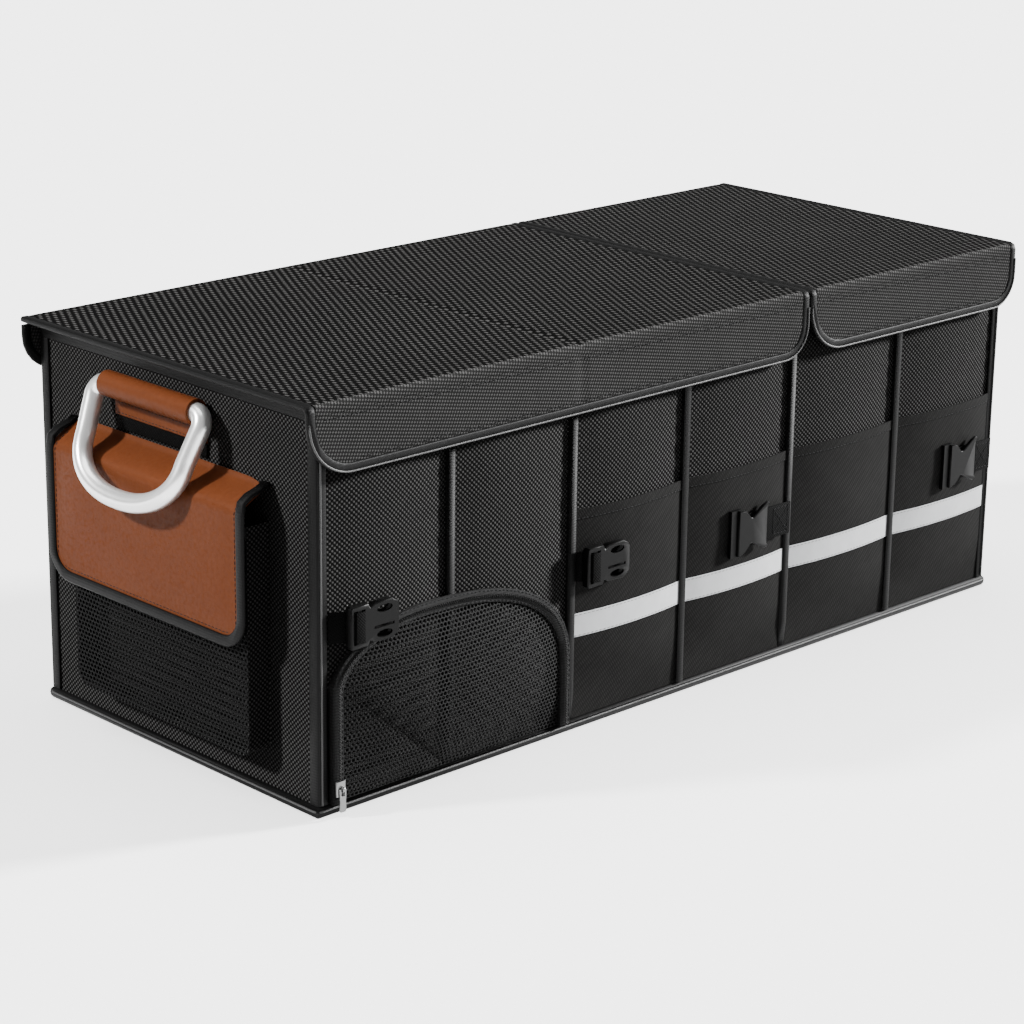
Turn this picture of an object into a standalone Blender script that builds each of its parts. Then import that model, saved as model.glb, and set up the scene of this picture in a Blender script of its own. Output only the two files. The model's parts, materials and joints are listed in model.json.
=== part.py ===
"""Folding three-compartment trunk organizer with two lids, a D handle on each end and pockets outside.

Metres, +Z up. The long front faces -Y, +X runs to the right along it. The origin is the middle of the
footprint, on the ground.
"""

import math

import bmesh
import bpy
from mathutils import Vector

# Driving dimensions
BODY_LENGTH = 0.790
BODY_DEPTH = 0.330
HEIGHT = 0.320
WALL = 0.004
CLEAR = 0.0003
SHARE_LEFT = 0.3265
SHARE_MIDDLE = 0.3240
PANEL_BOW = 0.005
BACK_BOW = 0.003
STEPS_PER_PANEL = 8

# Bindings, piping and rim
PIPING_HEIGHT = 0.009
PIPING_PROUD = 0.0034
SEAM_WIDTH = 0.0075
SEAM_PROUD = 0.0045
CORNER_LEG = 0.0075
CORNER_THICK = 0.0016
RIM_COVER = 0.010
RIM_THICK = 0.001
EDGE_WIDTH = 0.0075
EDGE_THICK = 0.0044

# Lids
LID_THICK = 0.006
LID_LEFT_OVER = 0.016
LID_RIGHT_OVER = 0.010
LID_FRONT_OVER = 0.0105
LID_BACK_OVER = 0.0070
LID_SPLIT_OFFSET = 0.009
LID_GAP = 0.002
LID_LIP = 0.0085
FLAP_THICK = 0.003
FLAP_DROP = 0.0555
FLAP_RADIUS_LEFT = 0.042
FLAP_RADIUS_RIGHT = 0.028
BACK_FLAP_THICK = 0.0024
BACK_FLAP_DROP = 0.045
BACK_FLAP_RADIUS = 0.030
FOLD_RADIUS = 0.004

# Inside
FLOOR_THICK = 0.0035
BOARD_THICK = 0.004
DIVIDER_THICK = 0.004
DIVIDER_DROP = 0.020

# Handles
TUBE_RADIUS = 0.0076
HANDLE_HALF_WIDTH = 0.0655
HANDLE_LENGTH = 0.0805
HANDLE_LEAN = math.radians(24.0)
HANDLE_DROP = 0.0325
HANDLE_SHIFT = 0.013
ELBOW_RADIUS = 0.0105
SLEEVE_SKIN = 0.0021
SLEEVE_FIT = 0.0004
TAB_THICK = 0.0032
TAB_DROP = 0.026
BAND_HEIGHT = 0.011
BAND_THICK = 0.0015

# Side pocket on the left end
POCKET_LOW = 0.036
POCKET_DROP = 0.014
POCKET_HALF = 0.107
POCKET_SHIFT = -0.004
POCKET_DEPTH = 0.022
POCKET_CORNER = 0.010
POCKET_SKIN = 0.0014
POCKET_BULGE = 0.002
HEM_HEIGHT = 0.008
LEATHER_THICK = 0.0018
LEATHER_GAP = 0.0022
SHOULDER_DROP = 0.017
LEATHER_DROP = 0.126
LEATHER_HALF = 0.1215
LEATHER_SHIFT = 0.0055
LEATHER_RADIUS = 0.026
LEATHER_EDGE = 0.0085
LEATHER_EDGE_THICK = 0.0036

# Arched mesh pocket on the front
ARCH_LEFT_IN = 0.0085
ARCH_PEAK = 0.147
ARCH_LEFT_SPRING = 0.096
ARCH_RIGHT_SPRING = 0.058
ARCH_PEAK_SHARE = 0.39
TAPE_WIDTH = 0.010
TAPE_FRONT = 0.0075
NET_SKIN = 0.0010
NET_BULGE = 0.013
TEETH_WIDTH = 0.0030
TEETH_PROUD = 0.0013
SLIDER_WIDTH = 0.0086
SLIDER_LENGTH = 0.0120
SLIDER_Z = 0.0225
PULL_LENGTH = 0.0180
PULL_WIDTH = 0.0064
PULL_THICK = 0.0013

# Flat pockets, their reflective band and the clasps
SHEET_SKIN = 0.0012
SHEET_TOP = 0.184
SHEET_LIFT = 0.0010
SHEET_HEM = 0.0085
BAND_LOW = 0.0785
BAND_HIGH = 0.0980
BAND_SKIN = 0.0005
CLASP_THICK = 0.0066
CLASP_STAND = 0.0080
SOCKET_Z_LEFT = 0.1475
SOCKET_Z_MIDDLE = 0.1375
PLUG_Z_MIDDLE = 0.1275
PLUG_Z_RIGHT = 0.1300
PLUG_IN_MIDDLE = 0.0715
PLUG_IN_RIGHT = 0.0690
SLOT_FIRST = 0.0028
SLOT_SECOND = 0.0100
SLOT_WIDTH = 0.0037
STRAP_THICK = 0.0013


def clear_scene():
    for obj in list(bpy.data.objects):
        bpy.data.objects.remove(obj, do_unlink=True)


MATERIALS = {}


def material(name, colour, roughness, metallic=0.0):
    if name not in MATERIALS:
        mat = bpy.data.materials.new(name)
        mat.use_nodes = True
        shader = mat.node_tree.nodes["Principled BSDF"]
        shader.inputs["Base Color"].default_value = (*colour, 1.0)
        shader.inputs["Roughness"].default_value = roughness
        shader.inputs["Metallic"].default_value = metallic
        MATERIALS[name] = mat
    return MATERIALS[name]


def body_cloth():
    return material("body_cloth", (0.018, 0.018, 0.019), 0.85)


def lid_cloth():
    return material("lid_cloth", (0.016, 0.016, 0.017), 0.85)


def flap_cloth():
    return material("flap_cloth", (0.045, 0.045, 0.047), 0.85)


def edge_tape():
    return material("edge_tape", (0.012, 0.012, 0.013), 0.7)


def pocket_cloth():
    return material("pocket_cloth", (0.013, 0.013, 0.013), 0.8)


def net_cloth():
    return material("net_cloth", (0.012, 0.012, 0.012), 0.8)


def board_cloth():
    return material("board_cloth", (0.02, 0.02, 0.021), 0.9)


def reflective():
    return material("reflective", (0.55, 0.56, 0.57), 0.45)


def leather():
    return material("leather", (0.28, 0.105, 0.05), 0.55)


def aluminium():
    return material("aluminium", (0.75, 0.75, 0.76), 0.35, 1.0)


def zip_metal():
    return material("zip_metal", (0.6, 0.6, 0.6), 0.35, 1.0)


def plastic():
    return material("clasp_plastic", (0.02, 0.02, 0.021), 0.45)


def webbing():
    return material("webbing", (0.014, 0.014, 0.014), 0.8)


def link(name, mesh, mat, smooth_deg=None):
    """Adds a mesh to the scene as one object with one material."""
    obj = bpy.data.objects.new(name, mesh)
    mesh.materials.append(mat)
    if smooth_deg is not None:
        mesh.shade_smooth()
        mesh.set_sharp_from_angle(angle=math.radians(smooth_deg))
    bpy.context.scene.collection.objects.link(obj)
    return obj


def finish_mesh(bm, name):
    bmesh.ops.remove_doubles(bm, verts=bm.verts, dist=0.00002)
    bmesh.ops.dissolve_degenerate(bm, edges=bm.edges, dist=0.00001)
    bmesh.ops.recalc_face_normals(bm, faces=bm.faces)
    mesh = bpy.data.meshes.new(name)
    bm.to_mesh(mesh)
    bm.free()
    return mesh


def slab(name, outer, inner, mat, smooth_deg=40):
    """Closes the space between two grids of points of the same size."""
    bm = bmesh.new()
    rows, cols = len(outer), len(outer[0])
    top = [[bm.verts.new(p) for p in row] for row in outer]
    low = [[bm.verts.new(p) for p in row] for row in inner]
    for i in range(rows - 1):
        for j in range(cols - 1):
            bm.faces.new((top[i][j], top[i][j + 1], top[i + 1][j + 1], top[i + 1][j]))
            bm.faces.new((low[i][j], low[i + 1][j], low[i + 1][j + 1], low[i][j + 1]))
    for i in range(rows - 1):
        for j in (0, cols - 1):
            bm.faces.new((top[i][j], top[i + 1][j], low[i + 1][j], low[i][j]))
    for j in range(cols - 1):
        for i in (0, rows - 1):
            bm.faces.new((top[i][j], top[i][j + 1], low[i][j + 1], low[i][j]))
    return link(name, finish_mesh(bm, name), mat, smooth_deg)


def frame_of(a, b, normal):
    along = (b - a).normalized()
    up = (normal - along * normal.dot(along)).normalized()
    return along, up, along.cross(up)


def sweep(name, path, normals, profile, mat, closed=False, smooth_deg=40):
    """Runs a closed profile of (side, up) points along a path with mitred corners.

    normals is one vector for each run of the path, the way that the profile's up points there.
    """
    bm = bmesh.new()
    count = len(path)
    runs = count if closed else count - 1
    frames = [frame_of(path[i], path[(i + 1) % count], normals[i % len(normals)]) for i in range(runs)]
    rings = []
    for i in range(count):
        before = frames[(i - 1) % runs] if closed or i > 0 else frames[0]
        after = frames[i % runs] if closed or i < runs else frames[-1]
        plane = (before[0] + after[0]).normalized()
        up = (before[1] + after[1]).normalized()
        up = (up - plane * up.dot(plane)).normalized()
        side = plane.cross(up)
        ring = []
        for s, u in profile:
            point = path[i] + before[2] * s + before[1] * u
            point -= before[0] * ((point - path[i]).dot(plane) / before[0].dot(plane))
            ring.append(bm.verts.new(point))
        rings.append(ring)
    size = len(profile)
    for i in range(runs):
        a, b = rings[i], rings[(i + 1) % count]
        for k in range(size):
            bm.faces.new((a[k], a[(k + 1) % size], b[(k + 1) % size], b[k]))
    if not closed:
        bm.faces.new(rings[0])
        bm.faces.new(rings[-1])
    return link(name, finish_mesh(bm, name), mat, smooth_deg)


def prism(name, outline, place, low, high, mat, smooth_deg=40):
    """Extrudes a flat outline; place(u, v, w) gives the point at height w."""
    bm = bmesh.new()
    bottom = [bm.verts.new(place(u, v, low)) for u, v in outline]
    top = [bm.verts.new(place(u, v, high)) for u, v in outline]
    bm.faces.new(bottom)
    bm.faces.new(top)
    for k in range(len(outline)):
        n = (k + 1) % len(outline)
        bm.faces.new((bottom[k], bottom[n], top[n], top[k]))
    return link(name, finish_mesh(bm, name), mat, smooth_deg)


def box(name, low, high, mat, bevel=0.0):
    bm = bmesh.new()
    bmesh.ops.create_cube(bm, size=1.0)
    for v in bm.verts:
        v.co = Vector([low[i] + (v.co[i] + 0.5) * (high[i] - low[i]) for i in range(3)])
    obj = link(name, finish_mesh(bm, name), mat, 40)
    if bevel:
        mod = obj.modifiers.new("edges", "BEVEL")
        mod.width = bevel
        mod.segments = 1
        mod.limit_method = "ANGLE"
    return obj


def cutter(obj):
    obj.hide_render = True
    obj.display_type = "WIRE"
    return obj


def boolean(obj, other, kind):
    mod = obj.modifiers.new(kind.lower() + "_" + other.name, "BOOLEAN")
    mod.operation = kind
    mod.object = other
    mod.solver = "EXACT"
    cutter(other)


def rest_origin(obj, point):
    """Moves an object's origin to a point without moving its mesh."""
    point = Vector(point)
    for v in obj.data.vertices:
        v.co -= point
    obj.location = point


def ease(low, high, value):
    t = min(1.0, max(0.0, (value - low) / (high - low)))
    return t * t * (3.0 - 2.0 * t)


def between(table, value):
    """Straight-line interpolation in a sorted list of (key, value) pairs."""
    if value <= table[0][0]:
        return table[0][1]
    for (a, fa), (b, fb) in zip(table, table[1:]):
        if value <= b:
            return fa + (fb - fa) * (value - a) / (b - a)
    return table[-1][1]


def seam_positions():
    """The x of both ends and of the five seams that divide the front into six panels."""
    xs = [-BODY_LENGTH / 2]
    for share in (SHARE_LEFT, SHARE_MIDDLE, 1.0 - SHARE_LEFT - SHARE_MIDDLE):
        width = share * BODY_LENGTH
        start = xs[-1]
        xs.append(start + width / 2)
        xs.append(start + width)
    return xs


SEAMS = seam_positions()
RIM_TOP = HEIGHT - LID_THICK - CLEAR
DIVIDER_TOP = HEIGHT - DIVIDER_DROP
HANDLE_AXIS_Z = HEIGHT - HANDLE_DROP
TAB_BOTTOM = HANDLE_AXIS_Z - TAB_DROP
LEATHER_TOP = TAB_BOTTOM - CLEAR - BAND_HEIGHT - LEATHER_GAP
LEATHER_SHOULDER = LEATHER_TOP - SHOULDER_DROP
LEATHER_LOW = LEATHER_TOP - LEATHER_DROP
POCKET_HIGH = LEATHER_SHOULDER - POCKET_DROP
WALL_TOP = RIM_TOP - RIM_THICK - CLEAR
BINDING_LOW = PIPING_HEIGHT + CLEAR
BINDING_HIGH = RIM_TOP - RIM_COVER - CLEAR
FRONT = -BODY_DEPTH / 2
BACK = BODY_DEPTH / 2
LEFT = -BODY_LENGTH / 2
RIGHT = BODY_LENGTH / 2


def wall_columns(first, last):
    xs = [SEAMS[first]]
    for a, b in zip(SEAMS[first:last], SEAMS[first + 1 : last + 1]):
        xs += [a + (b - a) * k / STEPS_PER_PANEL for k in range(1, STEPS_PER_PANEL + 1)]
    return xs


def wall_rows():
    foot = PIPING_HEIGHT
    full = foot + 0.05
    start = WALL_TOP - 0.050
    end = WALL_TOP - 0.014
    rows = [0.0, foot] + [foot + (full - foot) * k / 4 for k in (1, 2, 3, 4)]
    rows += [start, start + (end - start) / 3, start + (end - start) * 2 / 3, end, WALL_TOP]
    return rows


def fade(z):
    """How far the panels bow at a height: nothing at the foot and under the rim."""
    return ease(PIPING_HEIGHT, PIPING_HEIGHT + 0.05, z) * (1.0 - ease(WALL_TOP - 0.050, WALL_TOP - 0.014, z))


FADE = [(z, fade(z)) for z in wall_rows()]
ACROSS = []
for left_x, right_x in zip(SEAMS, SEAMS[1:]):
    for step in range(STEPS_PER_PANEL):
        share_of = step / STEPS_PER_PANEL
        ACROSS.append((left_x + (right_x - left_x) * share_of, 4.0 * share_of * (1.0 - share_of)))
ACROSS.append((SEAMS[-1], 0.0))


def bow(x, z):
    return PANEL_BOW * between(ACROSS, x) * between(FADE, z)


def bowed_wall(name, side, depth):
    """A long wall of six panels that bow outwards between their seams."""
    rows = wall_rows()
    cols = wall_columns(0, 6)
    if side > 0:
        rows = rows[:2] + rows[3::2]
        cols = cols[::2]
    outer = []
    inner = []
    for z in rows:
        outs = [side * (BODY_DEPTH / 2 + bow(x, z) * depth / PANEL_BOW) for x in cols]
        outer.append([(x, y, z) for x, y in zip(cols, outs)])
        inner.append([(x, y - side * WALL, z) for x, y in zip(cols, outs)])
    return slab(name, outer, inner, body_cloth(), 25)


def end_wall(name, side):
    inside = side * (BODY_LENGTH / 2 - WALL)
    outside = side * BODY_LENGTH / 2
    reach = BODY_DEPTH / 2 - WALL - CLEAR
    low = (min(inside, outside), -reach, 0.0)
    high = (max(inside, outside), reach, WALL_TOP)
    return box(name, low, high, body_cloth())


def base_panel():
    x = BODY_LENGTH / 2 - WALL - CLEAR
    y = BODY_DEPTH / 2 - WALL - CLEAR
    box("base_panel", (-x, -y, 0.0), (x, y, FLOOR_THICK), board_cloth())


def inside_boards():
    """Two partitions and the three stiff boards between them."""
    y = BODY_DEPTH / 2 - WALL - 2 * CLEAR
    low = FLOOR_THICK + CLEAR
    for name, x in (("divider_left", SEAMS[2]), ("divider_right", SEAMS[4])):
        start = (x - DIVIDER_THICK / 2, -y, low)
        end = (x + DIVIDER_THICK / 2, y, DIVIDER_TOP)
        box(name, start, end, board_cloth(), 0.0008)
    edge = DIVIDER_THICK / 2 + CLEAR
    end_gap = WALL + 2 * CLEAR
    spans = (
        ("floor_board_left", SEAMS[0] + end_gap, SEAMS[2] - edge),
        ("floor_board_middle", SEAMS[2] + edge, SEAMS[4] - edge),
        ("floor_board_right", SEAMS[4] + edge, SEAMS[6] - end_gap),
    )
    for name, a, b in spans:
        box(name, (a, -y, low), (b, y, low + BOARD_THICK), board_cloth(), 0.0008)


def loop_path(x, y, z):
    return [Vector((-x, -y, z)), Vector((x, -y, z)), Vector((x, y, z)), Vector((-x, y, z))]


def piping():
    """A round-faced piping around the foot of the four walls."""
    h = PIPING_HEIGHT / 2
    p = PIPING_PROUD
    path = loop_path(BODY_LENGTH / 2 + CLEAR, BODY_DEPTH / 2 + CLEAR, h)
    profile = [(0, -h), (0, h), (p * 0.5, h), (p * 0.88, h * 0.62), (p, 0)]
    profile += [(p * 0.88, -h * 0.62), (p * 0.5, -h)]
    sweep("bottom_piping", path, [Vector((0, 0, 1))], profile, edge_tape(), True, 50)


def rim():
    """An inverted U of tape folded over the top edge of the walls."""
    path = loop_path(BODY_LENGTH / 2 - WALL / 2, BODY_DEPTH / 2 - WALL / 2, RIM_TOP)
    gap = WALL / 2 + CLEAR
    far = gap + RIM_THICK
    profile = [(far, -RIM_COVER), (far, 0), (-far, 0), (-far, -RIM_COVER)]
    profile += [(-gap, -RIM_COVER), (-gap, -RIM_THICK), (gap, -RIM_THICK), (gap, -RIM_COVER)]
    sweep("rim_binding", path, [Vector((0, 0, 1))], profile, edge_tape(), True, 50)


def corner_binding(name, side_x, side_y):
    """A folded tape that wraps one upright corner."""
    stand = bow(SEAMS[0] + CORNER_LEG, WALL_TOP * 0.5) + CLEAR
    t = CORNER_THICK
    u = CLEAR
    leg = CORNER_LEG
    r = t * 1.2
    outline = [(-u, leg), (-u, -stand), (leg, -stand), (leg, -stand - t * 0.7), (leg - t * 0.6, -stand - t)]
    outline += [(-u - t + r, -stand - t), (-u - t + r * 0.3, -stand - t + r * 0.3), (-u - t, -stand - t + r)]
    outline += [(-u - t, leg - t * 0.6), (-u - t * 0.7, leg)]

    def place(a, b, w):
        return (side_x * (BODY_LENGTH / 2 - a), side_y * (BODY_DEPTH / 2 - b), w)

    prism(name, outline, place, BINDING_LOW, BINDING_HIGH, edge_tape())


def seam_binding(number, over_sheet):
    """A rounded tape sewn over one upright seam of the front, stepped where a pocket runs under it."""
    seam = SEAMS[number]
    half = SEAM_WIDTH / 2
    shape = ((-1.0, 0.80), (-0.6, 0.97), (0.0, 1.0), (0.6, 0.97), (1.0, 0.80))
    flat = bow(seam + half, WALL_TOP / 2) + CLEAR
    under = flat + SHEET_SKIN + BAND_SKIN + 2 * CLEAR + 0.0003
    rows = [BINDING_LOW, BINDING_LOW + 0.011, BINDING_LOW + 0.022]
    step = SHEET_TOP + CLEAR
    rows += [step, step + 0.0006, BINDING_HIGH]
    outer = []
    inner = []
    for z in rows:
        low_part = under if over_sheet and z <= step else flat
        tall = SEAM_PROUD
        if not over_sheet:
            tall = 0.0017 + (SEAM_PROUD - 0.0017) * ease(BINDING_LOW, BINDING_LOW + 0.022, z)
        outer.append([(seam + s * half, FRONT - tall * h, z) for s, h in shape])
        inner.append([(seam + s * half, FRONT - low_part, z) for s, _ in shape])
    slab("seam_binding_%d" % number, outer, inner, edge_tape(), 50)


def split_x():
    return SEAMS[4] + LID_SPLIT_OFFSET


def corner_arc(cx, cz, radius, start, end, steps=6):
    """Points on an arc, angles in degrees."""
    points = []
    for k in range(steps + 1):
        a = math.radians(start + (end - start) * k / steps)
        points.append((cx + radius * math.cos(a), cz + radius * math.sin(a)))
    return points


def flap_outline(x0, x1, low, high, r_left, r_right):
    """A hanging flap: square at the top, round at its two lower corners."""
    points = [(x0, high)]
    points += corner_arc(x0 + r_left, low + r_left, r_left, 180, 270)
    points += corner_arc(x1 - r_right, low + r_right, r_right, 270, 360)
    points.append((x1, high))
    return points


def lid_panel(name, x0, x1):
    """The stiff top with its front edge folded down to the seam of the flap."""
    y_front = FRONT - LID_FRONT_OVER
    y_back = BACK + LID_BACK_OVER
    r = FOLD_RADIUS
    outline = [(y_back, HEIGHT), (y_front + r, HEIGHT)]
    outline += [(y_front + r - r * math.sin(a), HEIGHT - r + r * math.cos(a)) for a in (0.52, 1.05)]
    outline += [(y_front, HEIGHT - r), (y_front, HEIGHT - LID_LIP), (y_front + FLAP_THICK, HEIGHT - LID_LIP)]
    outline += [(y_front + FLAP_THICK, HEIGHT - LID_THICK), (y_back, HEIGHT - LID_THICK)]
    inset = EDGE_WIDTH + CLEAR
    return prism(name, outline, lambda u, v, w: (w, u, v), x0 + inset, x1 - inset, lid_cloth(), 50)


def lid_flap(name, x0, x1):
    inset = EDGE_WIDTH + CLEAR
    low = HEIGHT - FLAP_DROP + inset
    high = HEIGHT - LID_LIP - CLEAR
    outline = flap_outline(
        x0 + inset, x1 - inset, low, high, FLAP_RADIUS_LEFT - inset, FLAP_RADIUS_RIGHT - inset
    )
    y = FRONT - LID_FRONT_OVER
    return prism(name, outline, lambda u, v, w: (u, w, v), y, y + FLAP_THICK, flap_cloth())


def edge_profile(width, thick):
    a = width / 2
    b = thick / 2
    return [(-a, -b * 0.6), (-a * 0.7, -b), (a * 0.7, -b), (a, -b * 0.6), (a, b * 0.6), (a * 0.7, b), (-a * 0.7, b)] + [
        (-a, b * 0.6)
    ]


def lid_binding(name, x0, x1):
    """One tape from the back of the lid, forward over the fold, round the flap and back again."""
    half = EDGE_WIDTH / 2
    yc = FRONT - LID_FRONT_OVER + FLAP_THICK / 2
    zc = HEIGHT - EDGE_THICK / 2 + 0.0004
    r = FOLD_RADIUS
    fold = [(yc + r - r * math.sin(a), zc - r + r * math.cos(a)) for a in (0.0, 0.785, 1.571)]
    normals = [Vector((0, 0, 1)), Vector((0, -math.sin(0.39), math.cos(0.39)))]
    normals.append(Vector((0, -math.sin(1.18), math.cos(1.18))))
    left = [Vector((x0 + half, BACK + LID_BACK_OVER, zc))]
    left += [Vector((x0 + half, y, z)) for y, z in fold]
    low = HEIGHT - FLAP_DROP + half
    rl = FLAP_RADIUS_LEFT - half
    rr = FLAP_RADIUS_RIGHT - half
    hang = corner_arc(x0 + half + rl, low + rl, rl, 180, 270)
    hang += corner_arc(x1 - half - rr, low + rr, rr, 270, 360)
    middle = [Vector((x, yc, z)) for x, z in hang]
    right = [Vector((x1 - half, y, z)) for y, z in reversed(fold)]
    right.append(Vector((x1 - half, BACK + LID_BACK_OVER, zc)))
    all_normals = normals + [Vector((0, -1, 0))] * (len(middle) + 1) + list(reversed(normals))
    path = left + middle + right
    return sweep(name, path, all_normals, edge_profile(EDGE_WIDTH, EDGE_THICK), edge_tape(), False, 50)


def hinge_point():
    return BACK + LID_BACK_OVER + CLEAR, HEIGHT


def lids():
    """Two lids, each a panel, a front flap and its edge tape, turning about the back top edge."""
    spans = (
        ("left", LEFT - LID_LEFT_OVER, split_x() - LID_GAP / 2),
        ("right", split_x() + LID_GAP / 2, RIGHT + LID_RIGHT_OVER),
    )
    y, z = hinge_point()
    for word, x0, x1 in spans:
        hub = bpy.data.objects.new("lid_%s_hinge" % word, None)
        hub.location = ((x0 + x1) / 2, y, z)
        bpy.context.scene.collection.objects.link(hub)
        pieces = (
            lid_panel("lid_%s_panel" % word, x0, x1),
            lid_flap("lid_%s_flap" % word, x0, x1),
            lid_binding("lid_%s_binding" % word, x0, x1),
        )
        for piece in pieces:
            rest_origin(piece, hub.location)
            piece.location = (0, 0, 0)
            piece.parent = hub
        back_flap(word, x0, x1)


def back_flap(word, x0, x1):
    """The strip of each lid's cloth that hangs down behind the back wall, where it is sewn."""
    inset = EDGE_WIDTH + CLEAR
    high = HEIGHT - LID_THICK - CLEAR
    low = HEIGHT - BACK_FLAP_DROP
    y = BACK + LID_BACK_OVER
    r = BACK_FLAP_RADIUS
    outline = flap_outline(x0 + inset, x1 - inset, low + inset, high, r - inset, r - inset)
    name = "back_flap_%s" % word
    prism(name, outline, lambda u, v, w: (u, w, v), y - BACK_FLAP_THICK, y, flap_cloth())
    half = EDGE_WIDTH / 2
    yc = y - BACK_FLAP_THICK / 2
    path = flap_outline(x0 + half, x1 - half, low + half, high, r - half, r - half)
    points = [Vector((x, yc, z)) for x, z in path]
    profile = edge_profile(EDGE_WIDTH, BACK_FLAP_THICK + 0.0008)
    sweep(name + "_binding", points, [Vector((0, 1, 0))], profile, edge_tape(), False, 50)


def handle_outline():
    """Centre line of the D handle as (across, down) points, from one elbow round to the other."""
    points = []
    half = HANDLE_HALF_WIDTH
    r = ELBOW_RADIUS
    for k in range(4):
        a = math.radians(90.0 * k / 3)
        points.append((-half + r - r * math.sin(a), r - r * math.cos(a)))
    knee = HANDLE_LENGTH * 0.50
    waist = half * 0.93
    points.append((-(half + waist) / 2, (r + knee) / 2))
    steps = 12
    for k in range(steps + 1):
        a = math.pi * k / steps
        across = -waist * math.copysign(abs(math.cos(a)) ** 0.9, math.cos(a))
        down = knee + (HANDLE_LENGTH - knee) * math.sin(a) ** 0.9
        points.append((across, down))
    mirror = [(-a, d) for a, d in reversed(points[:5])]
    return points + mirror


def handle(name, side, lean):
    """A closed tube D: its top bar lies in the leather sleeve, on the joint's axis."""
    bm = bmesh.new()
    outline = handle_outline()
    sides = 10
    rings = []
    count = len(outline)
    for i in range(count):
        before = Vector(outline[i - 1])
        here = Vector(outline[i])
        after = Vector(outline[(i + 1) % count])
        t1 = (here - before).normalized()
        t2 = (after - here).normalized()
        along = (t1 + t2).normalized()
        across = Vector((along.y, -along.x)) / max(0.7, along.dot(t1))
        ring = []
        for k in range(sides):
            a = 2 * math.pi * k / sides
            p = here + across * (TUBE_RADIUS * math.cos(a))
            ring.append(bm.verts.new((TUBE_RADIUS * math.sin(a), p.x, -p.y)))
        rings.append(ring)
    for i in range(count):
        a, b = rings[i], rings[(i + 1) % count]
        for k in range(sides):
            bm.faces.new((a[k], a[(k + 1) % sides], b[(k + 1) % sides], b[k]))
    obj = link(name, finish_mesh(bm, name), aluminium(), 60)
    obj.location = (side * handle_axis_x(), handle_middle(side), HANDLE_AXIS_Z)
    obj.rotation_euler = (0.0, -side * lean, 0.0)
    return obj


def sleeve_radius():
    return TUBE_RADIUS + SLEEVE_FIT + SLEEVE_SKIN


def handle_axis_x():
    return BODY_LENGTH / 2 + CLEAR + sleeve_radius() + 0.0004


def handle_middle(side):
    return -side * HANDLE_SHIFT


def sleeve(name, side):
    """Leather rolled round the bar, its two layers sewn flat to the wall below the roll."""
    inner = TUBE_RADIUS + SLEEVE_FIT
    outer = sleeve_radius()
    wall_gap = handle_axis_x() - BODY_LENGTH / 2 - CLEAR
    drop = HANDLE_AXIS_Z - TAB_BOTTOM
    steps = 12
    ring_out = []
    ring_in = []
    leave = math.radians(228)
    start = math.radians(-80)
    for k in range(steps + 1):
        a = start + (leave - start) * k / steps
        ring_out.append((outer * math.cos(a), outer * math.sin(a)))
        ring_in.append((inner * math.cos(a), inner * math.sin(a)))
    tail_x = -wall_gap
    ring_out[-1] = (tail_x, outer * math.sin(leave) * 0.6)
    extra = [(tail_x, -drop), (tail_x + TAB_THICK, -drop), (tail_x + TAB_THICK, -outer * 1.12)]
    angles = (238, 248, 264)
    for point, deg in zip(extra, angles):
        ring_out.append(point)
        a = math.radians(deg)
        ring_in.append((inner * math.cos(a), inner * math.sin(a)))
    bm = bmesh.new()
    half = HANDLE_HALF_WIDTH - ELBOW_RADIUS
    y_mid = handle_middle(side)
    loops = []
    for y in (y_mid - half, y_mid + half):
        for ring in (ring_out, ring_in):
            loop = [bm.verts.new((side * (handle_axis_x() + x), y, HANDLE_AXIS_Z + z)) for x, z in ring]
            loops.append(loop)
    size = len(ring_out)
    out_a, in_a, out_b, in_b = loops
    for k in range(size):
        n = (k + 1) % size
        bm.faces.new((out_a[k], out_a[n], in_a[n], in_a[k]))
        bm.faces.new((out_b[k], in_b[k], in_b[n], out_b[n]))
        bm.faces.new((out_a[k], out_b[k], out_b[n], out_a[n]))
        bm.faces.new((in_a[k], in_a[n], in_b[n], in_b[k]))
    link(name, finish_mesh(bm, name), leather(), 40)


def handle_band(name, side):
    """The woven strip sewn across the foot of the leather."""
    y_mid = handle_middle(side)
    half = HANDLE_HALF_WIDTH - ELBOW_RADIUS
    x_in = BODY_LENGTH / 2 + CLEAR
    xs = sorted((side * x_in, side * (x_in + BAND_THICK)))
    top = TAB_BOTTOM - CLEAR
    box(name, (xs[0], y_mid - half, top - BAND_HEIGHT), (xs[1], y_mid + half, top), webbing(), 0.0004)


def handles():
    """The left handle leans on the pocket's flap, the right one hangs straight down."""
    for word, side, lean in (("left", -1, HANDLE_LEAN), ("right", 1, 0.0)):
        handle("handle_" + word, side, lean)
        sleeve("handle_sleeve_" + word, side)
        handle_band("handle_webbing_" + word, side)


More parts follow.
